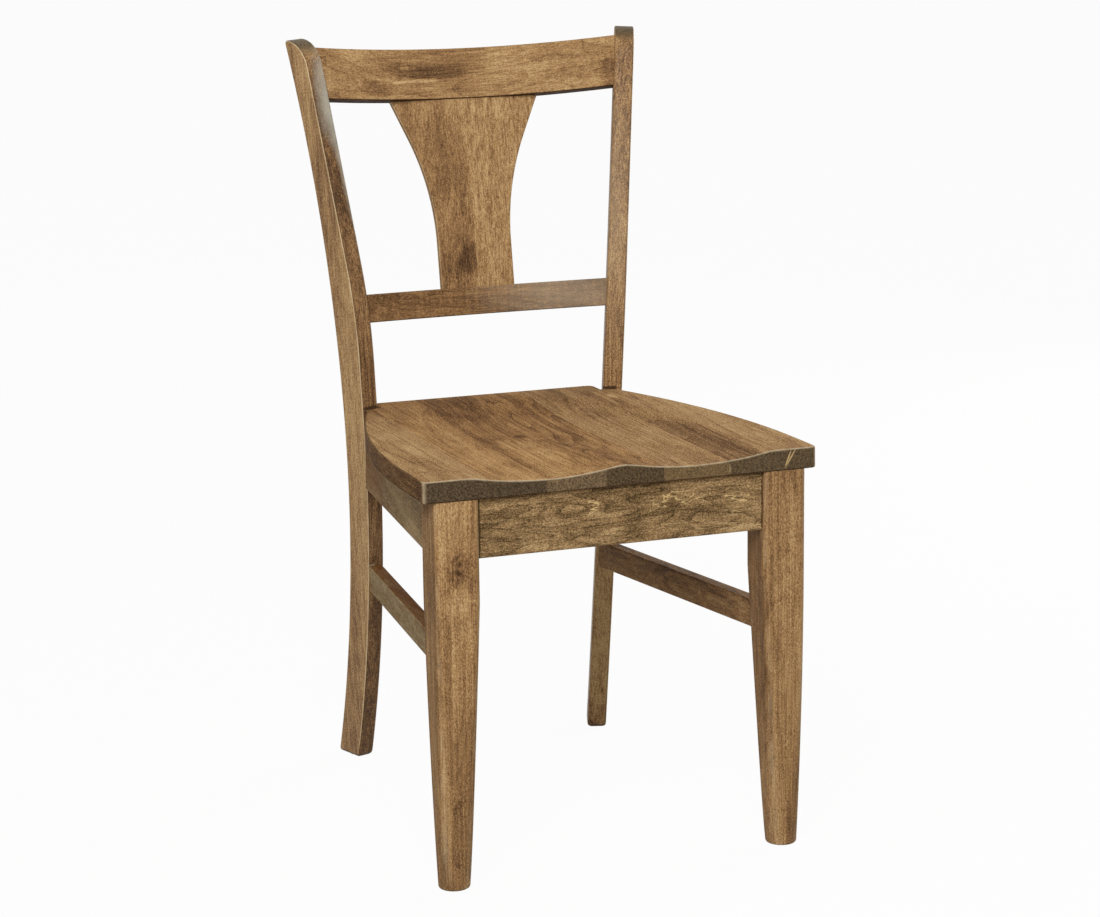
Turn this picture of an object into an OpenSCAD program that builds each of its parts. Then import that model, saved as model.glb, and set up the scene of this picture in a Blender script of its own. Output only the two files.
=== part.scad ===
// Wooden dining side chair: splat back between raked posts, scooped plank seat, tapered front legs.
// Lengths are millimetres. The working axes start at the floor under the front edge of the seat,
// with x to the sitter's left, y towards the back and z up. Every piece is then moved forward
// so that the origin lies at the middle of the whole chair's footprint.

/* [Overall] */
// Height of the back posts above the floor
total_height = 882; // [850:1:910]
// Height of the front edge of the seat above the floor
seat_height = 458; // [440:0.5:475]

/* [Seat] */
// Width of the seat at its front
seat_width = 454; // [440:1:480]
// Thickness of the seat boards
seat_thickness = 24; // [20:0.5:30]
// Depth of the seat from its front edge to the end of its tongue
seat_depth = 466; // [458:1:475]
// Backward slope of the seat in degrees
seat_slope = 1.05; // [0:0.05:2]
// Radius of the two front corners in plan
seat_corner_radius = 7; // [4:0.5:14]
// Length of straight side behind the front edge
seat_side_straight = 60; // [30:1:90]
// Radius of the sweep that narrows the sides towards the back
seat_side_radius = 1020; // [980:10:1200]
// Radius of the two rear corners of the tongue
tongue_corner_radius = 9; // [4:0.5:14]
// Gap between the tongue and the inner edge of each post
tongue_gap = 5; // [3:0.5:8]
// Gap between the seat and the front face of each post
post_notch_gap = 0.5; // [0.2:0.1:0.8]
// Depth of the scooped hollow below the seat's rim
scoop_depth = 9; // [5:0.5:12]
// Width of the flat rim beside the hollow
scoop_rim = 57; // [45:1:70]
// Distance of the hollow's rear end from the tongue's rear edge
scoop_rear_margin = 41; // [26:1:60]
// Distance from the centre to the deepest line of each thigh hollow
thigh_offset = 88; // [75:1:100]
// Length of the raised ridge between the thigh hollows
ridge_length = 190; // [120:5:260]

/* [Back posts] */
// Thickness of the board that each post is sawn from
post_thickness = 23.5; // [20:0.5:28]
// Depth of the post at its narrowest, just under the seat
post_depth = 40; // [36:1:50]
// Distance from the centre plane to the outer front edge of a post under the seat
post_edge_x = 164; // [158:1:175]
// Distance that the seat's tongue reaches behind the outer front edge of each post
tongue_reach = 40; // [32:1:50]
// Turn of each post about the vertical, so that the pair opens backwards, in degrees
post_splay = 19.5; // [14:0.5:24]
// Outward lean of each post in degrees
post_lean = 2.8; // [0:0.1:4]
// Backward recline of the post above the seat in degrees
post_recline = 12.75; // [9:0.25:15]
// Radius of the bend above the seat
post_bend_radius = 550; // [350:10:800]
// Height above the underside of the seat at which the bend begins
post_bend_start = 70; // [40:1:90]
// Radius of the front edge's backward sweep down to the floor
post_front_sweep = 1550; // [1300:10:2200]
// Radius of the back edge's backward sweep down to the floor
post_back_sweep = 1450; // [1250:10:2000]
// Radius of the rounded front of the post's top
post_top_radius = 40; // [20:1:44]
// Length of the post's top between its rounded front and its back edge
post_top_flat = 5.5; // [4:0.5:10]
// Radius of the back corner of the post's top
post_top_corner = 3; // [1:0.5:4]

/* [Crest rail] */
// Height of the crest rail along its face
crest_height = 61.5; // [50:0.5:75]
// Thickness of the crest rail
crest_thickness = 19; // [18:0.5:26]
// Drop from the tops of the posts to the ends of the crest rail
crest_drop = 10; // [5:0.5:16]
// Distance from the front edge of a post back to the crest rail's lower edge
crest_setback = 6; // [2:0.5:8]
// Backward recline of the crest rail in degrees
crest_recline = 18.5; // [14:0.5:20]
// Radius of the crest rail's bend
crest_radius = 543; // [450:1:800]

/* [Lower back rail] */
// Height of the lower back rail along its face
lower_rail_height = 33; // [24:1:45]
// Thickness of the lower back rail
lower_rail_thickness = 20; // [18:0.5:24]
// Height of the lower back rail above the seat, as a share of the back's height above the seat
lower_rail_share = 0.222; // [0.17:0.002:0.3]
// Distance from the front edge of a post back to the lower rail's lower edge
lower_rail_setback = 5; // [2:0.5:8]
// Backward recline of the lower back rail in degrees
lower_rail_recline = 8.5; // [4:0.5:12]
// Radius of the lower back rail's bend
lower_rail_radius = 442; // [380:1:700]

/* [Splat] */
// Thickness of the splat
splat_thickness = 9; // [7:0.5:11]
// Width of the splat in its lower, straight part
splat_width = 92.5; // [70:0.5:120]
// Height of the straight part above the lower rail, as a share of the splat's height
splat_straight_share = 0.242; // [0.14:0.002:0.34]
// Radius of the curve that flares the splat, as a share of the splat's height
splat_flare_share = 1.378; // [1.1:0.002:1.7]
// Slope of the splat's upper edges from the vertical in degrees
splat_flare_angle = 23.7; // [15:0.1:27]
// Distance from the lower rail's face back to the splat
splat_lower_setback = 7.5; // [4:0.5:9]
// Distance from the crest rail's face back to the splat
splat_upper_setback = 2.5; // [2:0.5:3.5]
// Depth of the grooves that hold the splat's two ends
splat_groove_depth = 10; // [6:0.5:14]

/* [Front legs] */
// Distance across the outer faces of the front legs
leg_spread = 428.5; // [416:0.5:434]
// Width of the square top of each front leg
leg_width = 50.5; // [46:0.5:56]
// Distance from the seat's front edge to the front faces of the legs
leg_setback = 0.5; // [0:0.5:6]
// Radius of the front leg's upright corners
leg_corner_radius = 7; // [3:0.5:12]
// Height above the floor at which the front leg's taper starts
leg_taper_start = 320; // [250:5:360]
// Height above the floor of the section that steers the taper
leg_middle_height = 110; // [80:5:160]
// Width of the front leg at that section
leg_middle_width = 41; // [39:0.5:43]
// Radius of the front leg's upright corners at that section
leg_middle_radius = 11; // [8:0.5:16]
// Distance by which that section draws in from the leg's outer faces
leg_middle_inset = 1; // [0:0.5:2]
// Diameter of the front leg's round foot
foot_diameter = 34.5; // [30:0.5:40]
// Distance from the leg's outer faces to the middle of its foot
foot_inset = 20; // [19:0.5:24]
// Height of the rounding at the foot's end
foot_round = 2; // [1:0.5:4]

/* [Aprons and stretchers] */
// Height of the front apron
apron_height = 65.5; // [55:0.5:80]
// Thickness of all aprons
apron_thickness = 20; // [18:0.5:22]
// Distance from the front legs' faces back to the front apron
apron_setback = 5; // [2:0.5:9]
// Distance from the leg's outer face in to the side apron's outer face
side_apron_inset = 6; // [4:0.5:9]
// Backward slope of the side aprons' lower edges and of the stretchers in degrees
frame_slope = 2.3; // [0:0.1:3]
// Distance from the front edge of the posts back to the rear apron
rear_apron_setback = 6; // [4:0.5:9]
// Height of the side stretchers' top above the floor at the front legs
stretcher_top = 271.5; // [240:0.5:300]
// Height of each side stretcher
stretcher_height = 32; // [26:0.5:40]
// Thickness of each side stretcher
stretcher_thickness = 17; // [15:0.5:19]
// Distance from the leg's outer face in to the stretcher's outer face
stretcher_inset = 11.5; // [11:0.5:14]
// Distance from a post's outer face in to the stretcher's outer face
stretcher_post_inset = 1; // [0:0.5:3]

/* [Joinery] */
// Diameter of the joint dowels
dowel_diameter = 8; // [6:0.5:8.5]
// Length of the joint dowels in the aprons and stretchers
dowel_length = 36; // [28:1:42]
// Length of the joint dowels at the ends of the two back rails
rail_dowel_length = 34; // [28:1:36]
// Depth to which a rail's dowel enters the post
rail_dowel_depth = 15; // [12:0.5:17]
// Clearance around dowels and screws and in grooves
fit_gap = 0.1; // [0.05:0.05:0.2]
// Width along the aprons of each corner block's glued faces
block_reach = 45; // [36:1:55]
// Height of each corner block
block_height = 24; // [20:1:30]
// Distance from the underside of the seat down to each corner block
block_drop = 4; // [2:0.5:8]
// Shank diameter of the screws
screw_diameter = 4; // [3.5:0.1:4.5]
// Head diameter of the screws
screw_head = 8; // [7:0.5:9]
// Length of the screws that fix the corner blocks
block_screw_length = 32; // [28:1:36]
// Length of the screws that fix the seat
seat_screw_length = 38; // [36:1:40]
// Diameter of the nail-on glides under the front legs
front_glide_diameter = 20; // [16:0.5:24]
// Diameter of the nail-on glides under the back posts
rear_glide_diameter = 15; // [12:0.5:16]
// Height by which the glides stand below the wood
glide_height = 0.8; // [0.6:0.1:2]
// Length of the glides' nails
glide_nail_length = 14; // [10:0.5:18]
// Diameter of the glides' nails
glide_nail_diameter = 2.4; // [2:0.1:3]

/* [Colours] */
// Stained maple of the posts, legs and rails
wood_colour = "#84674a";
// Lighter boards of the seat
light_board_colour = "#95754f";
// Darker boards of the seat
dark_board_colour = "#6f543c";
// Plain wood of the dowels and corner blocks
bare_wood_colour = "#c2a478";
// Zinc-plated steel of the screws
steel_colour = "#a9a9a6";
// Nylon of the glides
glide_colour = "#5b4634";

/* [Hidden] */

// The sitter's right is at negative x and is called left here, as seen from the front.
left = -1;
right = 1;
// Length that reaches past the chair, for cutting planes
beyond = 1200;
// Overshoot of a cut past the face that it opens
over = 1;
// Fineness of the large bends and of the small round parts
bend_facets = 360;
round_facets = 48;
// Number of straight steps that stand for a sweep and for a small corner
sweep_steps = 16;
corner_steps = 6;

// Points on an arc, from one angle to another in degrees
function arc(x, y, radius, from, to, steps) =
    [for (i = [0:steps]) let (a = from + (to - from) * i / steps)
        [x + radius * cos(a), y + radius * sin(a)]];

// A half outline made whole by its mirror image across x = 0
function mirrored(points) =
    concat(points, [for (i = [len(points) - 1:-1:0]) [-points[i][0], points[i][1]]]);

module on_side(side) {
    mirror([side < 0 ? 1 : 0, 0, 0])
        children();
}

module both_sides() {
    for (side = [left, right])
        on_side(side) children();
}

// Seat plane

// Level of the seat's underside at its front edge
underside = seat_height - seat_thickness;

module on_seat_plane() {
    translate([0, 0, underside]) rotate([-seat_slope, 0, 0]) children();
}

module below_seat() {
    on_seat_plane()
        translate([-beyond / 2, -beyond / 2, -beyond])
            cube([beyond, 2 * beyond, beyond]);
}

function underside_at(y) = underside - y * tan(seat_slope);

// Back posts

// Distance from the seat's front edge to the outer front edge of a post
post_edge_y = seat_depth - tongue_reach;
// Height of the post along its board, above the seat's underside
post_rise = (total_height - underside - post_thickness * sin(post_lean)) / cos(post_lean);
// Depth at which the post's bend ends, and the height there
bend_depth = post_bend_radius * (1 - cos(post_recline));
bend_top = post_bend_start + post_bend_radius * sin(post_recline);
// Height of the post's narrowest place, relative to the seat's underside
waist = -seat_thickness;
// Height at which the front edge starts to sweep back below the seat
sweep_start = -10;

// Middle of the arc that rounds the front of the post's top
top_centre_height = post_rise - post_top_radius;
top_centre_depth = bend_depth + (top_centre_height - bend_top) * tan(post_recline)
    + post_top_radius / cos(post_recline);
top_corner_height = post_rise - post_top_corner;
// How far the back edge sweeps back between the waist and the top, and the radius that gives it
post_back_run = top_centre_depth + post_top_flat - post_depth;
post_back_rise = (pow(post_back_run, 2) + pow(post_rise - waist, 2)) / (2 * post_back_run);

function swept(radius, run) = radius - sqrt(radius * radius - run * run);

// Depth of the post's front and back edges at a height along the board
function post_front(h) =
    h < sweep_start ? swept(post_front_sweep, sweep_start - h)
    : h < post_bend_start ? 0
    : h < bend_top ? swept(post_bend_radius, h - post_bend_start)
    : bend_depth + (h - bend_top) * tan(post_recline);
function post_back(h) =
    post_depth + (h < waist ? swept(post_back_sweep, waist - h) : swept(post_back_rise, h - waist));

// A point of the right-hand post: inward from its outer face, back from its edge, up its board
function post_point(inward, back, h) =
    let (a = h * sin(post_lean) - inward * cos(post_lean))
    [post_edge_x + a * cos(post_splay) + back * sin(post_splay),
        post_edge_y - a * sin(post_splay) + back * cos(post_splay),
        underside + h * cos(post_lean) + inward * sin(post_lean)];

// Height along the board of a level above the floor, on the post's inner face
function board_height(z) =
    (z - underside - post_thickness * sin(post_lean)) / cos(post_lean);

module on_post() {
    translate([post_edge_x, post_edge_y, underside])
        rotate([0, 0, -post_splay])
            rotate([0, post_lean, 0])
                children();
}

post_foot = -underside / cos(post_lean) - over * 4;

post_leg_front = [for (i = [0:sweep_steps])
    let (h = post_foot + (sweep_start - post_foot) * i / sweep_steps)
    [post_front(h), h]];
post_outline = concat(
    post_leg_front,
    arc(post_bend_radius, post_bend_start, post_bend_radius, 180, 180 - post_recline, sweep_steps),
    arc(top_centre_depth, top_centre_height, post_top_radius, 180 - post_recline, 90, sweep_steps),
    arc(post_back(top_corner_height) - post_top_corner, top_corner_height, post_top_corner,
        90, 0, corner_steps),
    [for (i = [1:sweep_steps]) let (h = top_corner_height + (waist - top_corner_height) * i / sweep_steps)
        [post_back(h), h]],
    [for (i = [1:sweep_steps]) let (h = waist + (post_foot - waist) * i / sweep_steps)
        [post_back(h), h]]);

// The right-hand post without its holes
module post_blank() {
    difference() {
        on_post()
            translate([-post_thickness, 0, 0])
                rotate([90, 0, 90])
                    linear_extrude(post_thickness)
                        polygon(post_outline);
        translate([-beyond, -beyond, glide_height - beyond])
            cube([2 * beyond, 3 * beyond, beyond]);
    }
}

// Everything behind the right-hand post's front face, below the seat, and behind its wider plane
module behind_post_face() {
    on_post()
        translate([-beyond / 2, 0, 0])
            rotate([90, 0, 90])
                linear_extrude(beyond)
                    polygon(concat(post_leg_front,
                        [[0, seat_thickness], [beyond, seat_thickness], [beyond, post_foot]]));
}

// Everything between the inner faces of the two posts
module between_posts() {
    intersection_for (side = [left, right])
        on_side(side)
            on_post()
                translate([-post_thickness - beyond, -beyond, -beyond])
                    cube([beyond, 2 * beyond, 2 * beyond]);
}

// Bent rails

// Levels of the lower front edges of the two rails at the posts
crest_level = total_height - crest_drop - crest_height * cos(crest_recline);
lower_rail_level = seat_height + lower_rail_share * (total_height - seat_height);

// Where a rail's lower front edge meets the right-hand post
function rail_end(level, setback) =
    let (h = board_height(level)) post_point(post_thickness, post_front(h) + setback, h);
crest_end = rail_end(crest_level, crest_setback);
lower_rail_end = rail_end(lower_rail_level, lower_rail_setback);

// How far a rail's middle lies behind its ends
function sag(radius, half_chord) = radius - sqrt(radius * radius - half_chord * half_chord);
crest_sag = sag(crest_radius, crest_end[0]);
lower_rail_sag = sag(lower_rail_radius, lower_rail_end[0]);

module on_crest() {
    translate([0, crest_end[1], crest_level]) rotate([-crest_recline, 0, 0]) children();
}

module on_lower_rail() {
    translate([0, lower_rail_end[1], lower_rail_level])
        rotate([-lower_rail_recline, 0, 0])
            children();
}

// A board bent hollow to the front, whose face passes through the half chord at each end
module bent_board(radius, half_chord, thickness, height) {
    middle = sag(radius, half_chord);
    spare = half_chord / 6;
    intersection() {
        translate([0, middle - radius, 0]) {
            difference() {
                cylinder(r = radius + thickness, h = height, $fn = bend_facets);
                translate([0, 0, -over])
                    cylinder(r = radius, h = height + 2 * over, $fn = bend_facets);
            }
        }
        translate([-half_chord - spare, -middle, 0])
            cube([2 * (half_chord + spare), 3 * middle + thickness, height]);
    }
}

// Depth of the whole chair, from the seat's front edge to the crest rail's back
whole_depth = crest_end[1] + (crest_sag + crest_thickness) * cos(crest_recline)
    + crest_height * sin(crest_recline);

// Moves a piece from the working axes to the chair's own origin
module placed(colour) {
    color(colour)
        translate([0, -whole_depth / 2, 0])
            children();
}

// Splat

// Middle of the lower rail's top and of the crest rail's bottom, where the splat's face starts
splat_foot_y = lower_rail_end[1] + lower_rail_height * sin(lower_rail_recline)
    + (lower_rail_sag + splat_lower_setback) * cos(lower_rail_recline);
splat_foot_z = lower_rail_level + lower_rail_height * cos(lower_rail_recline)
    - (lower_rail_sag + splat_lower_setback) * sin(lower_rail_recline);
splat_head_y = crest_end[1] + (crest_sag + splat_upper_setback) * cos(crest_recline);
splat_head_z = crest_level - (crest_sag + splat_upper_setback) * sin(crest_recline);
splat_recline = atan2(splat_head_y - splat_foot_y, splat_head_z - splat_foot_z);
splat_height = norm([splat_head_y - splat_foot_y, splat_head_z - splat_foot_z]);
splat_straight = splat_straight_share * splat_height;
splat_flare_radius = splat_flare_share * splat_height;

flare_top = splat_straight + splat_flare_radius * sin(splat_flare_angle);
flare_half = splat_width / 2 + splat_flare_radius * (1 - cos(splat_flare_angle));
// The crest rail's bend brings its lower edge down towards the front beside the splat's middle
splat_ear = flare_half + (splat_height - flare_top) * tan(splat_flare_angle);
ear_rise = sag(crest_radius, splat_ear) * sin(crest_recline);
splat_top = splat_height + ear_rise + splat_groove_depth;

splat_half_outline = concat(
    [[splat_width / 2, -splat_groove_depth]],
    arc(splat_width / 2 + splat_flare_radius, splat_straight, splat_flare_radius,
        180, 180 - splat_flare_angle, sweep_steps),
    [[flare_half + (splat_top - flare_top) * tan(splat_flare_angle), splat_top]]);

module on_splat() {
    translate([0, splat_foot_y, splat_foot_z])
        rotate([-splat_recline, 0, 0])
            children();
}

// The whole splat with its tongues, larger all round by a clearance where it cuts its grooves
module splat_blank(gap) {
    outline = [for (p = splat_half_outline) [p[0] + gap, p[1] + sign(p[1]) * gap]];
    on_splat()
        translate([0, splat_thickness + gap, 0])
            rotate([90, 0, 0])
                linear_extrude(splat_thickness + 2 * gap)
                    polygon(mirrored(outline));
}

// Front legs

leg_outer = leg_spread / 2;
leg_inner = leg_outer - leg_width;
leg_back = leg_setback + leg_width;
taper_top = underside - apron_height;

// A square with rounded corners, set in from the leg's two outer faces
function leg_section(width, radius, inset) =
    let (near = inset + radius, far = inset + width - radius)
    concat(
        arc(leg_outer - near, leg_setback + far, radius, 0, 90, corner_steps),
        arc(leg_outer - far, leg_setback + far, radius, 90, 180, corner_steps),
        arc(leg_outer - far, leg_setback + near, radius, 180, 270, corner_steps),
        arc(leg_outer - near, leg_setback + near, radius, 270, 360, corner_steps));

module at_front_foot() {
    translate([leg_outer - foot_inset, leg_setback + foot_inset, 0]) children();
}

// The right-hand front leg without its holes: square above, tapering to a round foot
module leg_blank() {
    intersection() {
        translate([0, 0, leg_taper_start])
            linear_extrude(underside - leg_taper_start)
                polygon(leg_section(leg_width, leg_corner_radius, 0));
        below_seat();
    }
    hull() {
        translate([0, 0, leg_taper_start - fit_gap])
            linear_extrude(fit_gap)
                polygon(leg_section(leg_width, leg_corner_radius, 0));
        translate([0, 0, leg_middle_height])
            linear_extrude(fit_gap)
                polygon(leg_section(leg_middle_width, leg_middle_radius, leg_middle_inset));
        at_front_foot()
            translate([0, 0, glide_height + foot_round])
                cylinder(d = foot_diameter, h = fit_gap, $fn = 32);
        at_front_foot()
            translate([0, 0, glide_height])
                cylinder(d = foot_diameter - 2 * foot_round, h = fit_gap, $fn = 32);
    }
}

// Aprons and stretchers

apron_front = leg_setback + apron_setback;

// Everything above a plane that slopes back from a level at the front legs
module above_frame_plane(level) {
    translate([0, leg_back, level])
        rotate([-frame_slope, 0, 0])
            translate([-beyond / 2, -beyond / 2, 0])
                cube([beyond, 2 * beyond, beyond]);
}

// Plan of a bar that runs back past a post's corner, thickening inwards, cut square to x at its front
function bar_plan(front, rear, thickness) =
    let (run = rear - front,
        along = run / norm(run),
        inward = [-along[1], along[0]],
        end = rear + along * 2 * thickness,
        corner = front + inward * thickness,
        trimmed = corner + along * (front[1] - corner[1]) / along[1])
    [front, end, end + inward * thickness, trimmed];

// The outer front corner of the right-hand post at a level above the floor
function post_corner(z) = let (h = (z - underside) / cos(post_lean)) post_point(0, post_front(h), h);

apron_mid_rear = underside_at(post_edge_y) - apron_height / 2;
apron_rear_corner = post_corner(apron_mid_rear);
side_apron_front = [leg_outer - side_apron_inset, leg_back];
side_apron_rear = [apron_rear_corner[0], apron_rear_corner[1]];
side_apron_plan = bar_plan(side_apron_front, side_apron_rear, apron_thickness);

module side_apron_blank() {
    difference() {
        intersection() {
            linear_extrude(seat_height)
                polygon(side_apron_plan);
            below_seat();
            above_frame_plane(taper_top);
        }
        behind_post_face();
    }
}

module front_apron_blank() {
    intersection() {
        translate([-leg_inner, apron_front, taper_top])
            cube([2 * leg_inner, apron_thickness, apron_height]);
        below_seat();
    }
}

rear_apron_front = apron_rear_corner[1] + post_thickness * sin(post_splay) + rear_apron_setback;

module rear_apron_blank() {
    intersection() {
        translate([-post_edge_x, rear_apron_front, 0])
            cube([2 * post_edge_x, apron_thickness, seat_height]);
        below_seat();
        above_frame_plane(taper_top);
        between_posts();
    }
}

// Level of the stretchers' middle line at a distance from the front legs' back faces
function stretcher_middle(y) =
    stretcher_top - stretcher_height / 2 - (y - leg_back) * tan(frame_slope);
stretcher_corner = post_corner(stretcher_middle(post_edge_y));
stretcher_front = [leg_outer - stretcher_inset, leg_back - leg_width / 2];
stretcher_rear = [stretcher_corner[0] - stretcher_post_inset, stretcher_corner[1]];
stretcher_plan = bar_plan(stretcher_front, stretcher_rear, stretcher_thickness);

module stretcher_blank() {
    difference() {
        intersection() {
            linear_extrude(underside)
                polygon(stretcher_plan);
            above_frame_plane(stretcher_top - stretcher_height / cos(frame_slope));
        }
        above_frame_plane(stretcher_top);
        leg_blank();
        behind_post_face();
    }
}

// Dowels

dowel_chamfer = dowel_diameter / 8;
// Space left at each end of a dowel's hole for glue
glue_space = 0.5;

// A dowel whose middle is at the origin, along z
module dowel(length) {
    translate([0, 0, -length / 2])
        rotate_extrude($fn = round_facets)
            polygon([[0, 0], [dowel_diameter / 2 - dowel_chamfer, 0], [dowel_diameter / 2, dowel_chamfer],
                [dowel_diameter / 2, length - dowel_chamfer],
                [dowel_diameter / 2 - dowel_chamfer, length], [0, length]]);
}

module dowel_hole(length) {
    translate([0, 0, -length / 2 - glue_space])
        cylinder(d = dowel_diameter + 2 * fit_gap, h = length + 2 * glue_space, $fn = round_facets);
}

// Each of these modules puts its children at the middle of every dowel of one joint, on one side.
// Pairs of dowels lie a quarter of the rail's height from its edges.

module at_rail_dowels(setback, thickness, level, height, recline, count) {
    for (i = [1:count]) {
        rise = height * (2 * i - 1) / (2 * count);
        h = board_height(level + rise * cos(recline));
        back = post_front(board_height(level)) + setback
            + rise * (sin(recline) + tan(post_lean) * sin(post_splay) * cos(recline)) / cos(post_splay)
            + thickness / 2;
        on_post()
            translate([rail_dowel_depth - post_thickness - rail_dowel_length / 2, back, h])
                rotate([0, 90, 0])
                    children();
    }
}

module at_crest_dowels() {
    at_rail_dowels(crest_setback, crest_thickness, crest_level, crest_height, crest_recline, 2)
        children();
}

module at_lower_rail_dowels() {
    at_rail_dowels(lower_rail_setback, lower_rail_thickness, lower_rail_level, lower_rail_height,
        lower_rail_recline, 1)
        children();
}

module at_front_apron_dowels() {
    for (share = [1 / 4, 3 / 4])
        translate([leg_inner, apron_front + apron_thickness / 2, taper_top + apron_height * share])
            rotate([0, 90, 0])
                children();
}

// Dowels lie level, half in each piece, and turn about the vertical between the two directions
apron_turn = atan2(side_apron_front[0] - side_apron_rear[0], side_apron_rear[1] - side_apron_front[1]);
stretcher_turn = atan2(stretcher_front[0] - stretcher_rear[0], stretcher_rear[1] - stretcher_front[1]);

module at_side_apron_front_dowels() {
    middle = side_apron_front[0] - apron_thickness / 2 / cos(apron_turn);
    for (share = [1 / 4, 3 / 4])
        translate([middle, leg_back, taper_top + apron_height * share])
            rotate([-90, 0, apron_turn / 2])
                children();
}

// Middle of the post's front face at a level, where the side pieces meet it
function post_face(z) =
    let (h = (z - underside) / cos(post_lean)) post_point(post_thickness / 2, post_front(h), h);

module at_post_front(z, turn) {
    translate(post_face(z))
        rotate([-90, 0, (turn - post_splay) / 2])
            children();
}

module at_side_apron_rear_dowels() {
    for (share = [-1 / 4, 1 / 4])
        at_post_front(apron_mid_rear + apron_height * share, apron_turn) children();
}

// The rear apron's dowels lie closer together, between those of the side aprons in the same post
module at_rear_apron_dowels() {
    back = (rear_apron_setback + apron_thickness / 2) / cos(post_splay)
        + post_front((apron_mid_rear - underside) / cos(post_lean));
    for (share = [-1 / 10, 1 / 10]) {
        h = (apron_mid_rear - underside + apron_height * share) / cos(post_lean);
        on_post()
            translate([-post_thickness, back, h])
                rotate([0, 90, post_splay / 2])
                    translate([0, 0, rail_dowel_depth - rail_dowel_length / 2])
                        children();
    }
}

// The leg's back face has drawn in by this much at the stretcher's level
stretcher_front_level = stretcher_top - stretcher_height / 2;
leg_draw = (leg_width - leg_middle_width - leg_middle_inset)
    * (leg_taper_start - stretcher_front_level) / (leg_taper_start - leg_middle_height);

module at_stretcher_front_dowels() {
    face = leg_back - leg_draw;
    run = (face - stretcher_front[1]) * tan(stretcher_turn);
    middle = stretcher_front[0] - run - stretcher_thickness / 2 / cos(stretcher_turn);
    for (share = [-1 / 4, 1 / 4])
        translate([middle, face, stretcher_front_level + stretcher_height * share])
            rotate([-90, 0, stretcher_turn / 2])
                children();
}

module at_stretcher_rear_dowels() {
    for (share = [-1 / 4, 1 / 4])
        at_post_front(stretcher_middle(stretcher_corner[1]) + stretcher_height * share, stretcher_turn)
            children();
}

// Corner blocks

front_apron_back = apron_front + apron_thickness;

// Level of the top of a block whose lowest end is at a distance from the front
function block_top(y) = underside_at(y) - block_drop;
front_block_top = block_top(leg_back + block_reach);
rear_block_top = block_top(rear_apron_front);

// Inner face of the side apron at a distance from the front
function side_apron_inside(y) =
    side_apron_front[0] - apron_thickness / cos(apron_turn) - (y - leg_back) * tan(apron_turn);

front_block_plan = [
    [leg_inner - block_reach, front_apron_back], [leg_inner, front_apron_back],
    [leg_inner, leg_back], [side_apron_inside(leg_back), leg_back],
    [side_apron_inside(leg_back + block_reach), leg_back + block_reach],
    [side_apron_inside(leg_back + block_reach) - block_reach / 3, leg_back + block_reach],
    [leg_inner - block_reach, front_apron_back + block_reach / 3]];

rear_block_reach = block_reach + apron_thickness;
rear_block_plan = [
    [side_apron_inside(rear_apron_front - rear_block_reach), rear_apron_front - rear_block_reach],
    [side_apron_inside(rear_apron_front), rear_apron_front],
    [side_apron_inside(rear_apron_front) - rear_block_reach, rear_apron_front],
    [side_apron_inside(rear_apron_front) - rear_block_reach, rear_apron_front - block_reach / 3],
    [side_apron_inside(rear_apron_front - rear_block_reach) - block_reach / 3,
        rear_apron_front - rear_block_reach]];

// Middles of the two glued faces of a block, where its screws cross into the aprons
front_face_spot = [leg_inner - block_reach / 2, front_apron_back];
front_side_spot_y = leg_back + block_reach / 2;
rear_face_spot = [side_apron_inside(rear_apron_front) - rear_block_reach / 2, rear_apron_front];
rear_side_spot_y = rear_apron_front - rear_block_reach + block_reach / 3;
front_screw_level = front_block_top - block_height / 2;
rear_screw_level = rear_block_top - block_height / 2;
// Depth to which a block's screw enters the apron
block_screw_depth = apron_thickness * 2 / 3;

// A countersunk screw whose head is at the origin and whose point lies along z
module screw(length, gap) {
    cone = (screw_head - screw_diameter) / 2;
    point = screw_diameter;
    rotate_extrude($fn = round_facets)
        polygon([[0, -gap], [screw_head / 2 + gap, -gap], [screw_head / 2 + gap, 0],
            [screw_diameter / 2 + gap, cone], [screw_diameter / 2 + gap, length - point],
            [gap, length + gap], [0, length + gap]]);
}

// The head's way in, cut through what lies in front of it
module screw_way(reach) {
    translate([0, 0, -reach])
        cylinder(d = screw_head + 2 * fit_gap, h = reach, $fn = round_facets);
}

// Puts its children at the heads of one block's apron screws
module at_front_block_screws() {
    start = block_screw_length - block_screw_depth;
    translate([front_face_spot[0], front_face_spot[1] + start, front_screw_level])
        rotate([90, 0, 0])
            children();
    translate([side_apron_inside(front_side_spot_y), front_side_spot_y, front_screw_level])
        rotate([0, 90, apron_turn])
            translate([0, 0, -start])
                children();
}

module at_rear_block_screws() {
    start = block_screw_length - block_screw_depth;
    translate([rear_face_spot[0], rear_face_spot[1] - start, rear_screw_level])
        rotate([-90, 0, 0])
            children();
    translate([side_apron_inside(rear_side_spot_y), rear_side_spot_y, rear_screw_level])
        rotate([0, 90, apron_turn])
            translate([0, 0, -start])
                children();
}

// Puts its child at the head of each seat screw, which passes up through a block into the seat
seat_screw_inset = block_reach / 4;
module at_seat_screws() {
    for (spot = [
        [leg_inner - seat_screw_inset, leg_back + seat_screw_inset, front_block_top],
        [side_apron_inside(rear_apron_front) - rear_block_reach / 4,
            rear_apron_front - rear_block_reach / 4, rear_block_top]])
        translate(spot - [0, 0, block_height])
            children();
}

module block_body(plan, top) {
    difference() {
        translate([0, 0, top - block_height])
            linear_extrude(block_height + block_drop)
                polygon(plan);
        on_seat_plane()
            translate([-beyond / 2, -beyond / 2, -block_drop])
                cube([beyond, 2 * beyond, beyond]);
    }
}

// Seat

function seat_half_width(y) =
    seat_width / 2 - (y < seat_side_straight ? 0 : swept(seat_side_radius, y - seat_side_straight));

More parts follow.
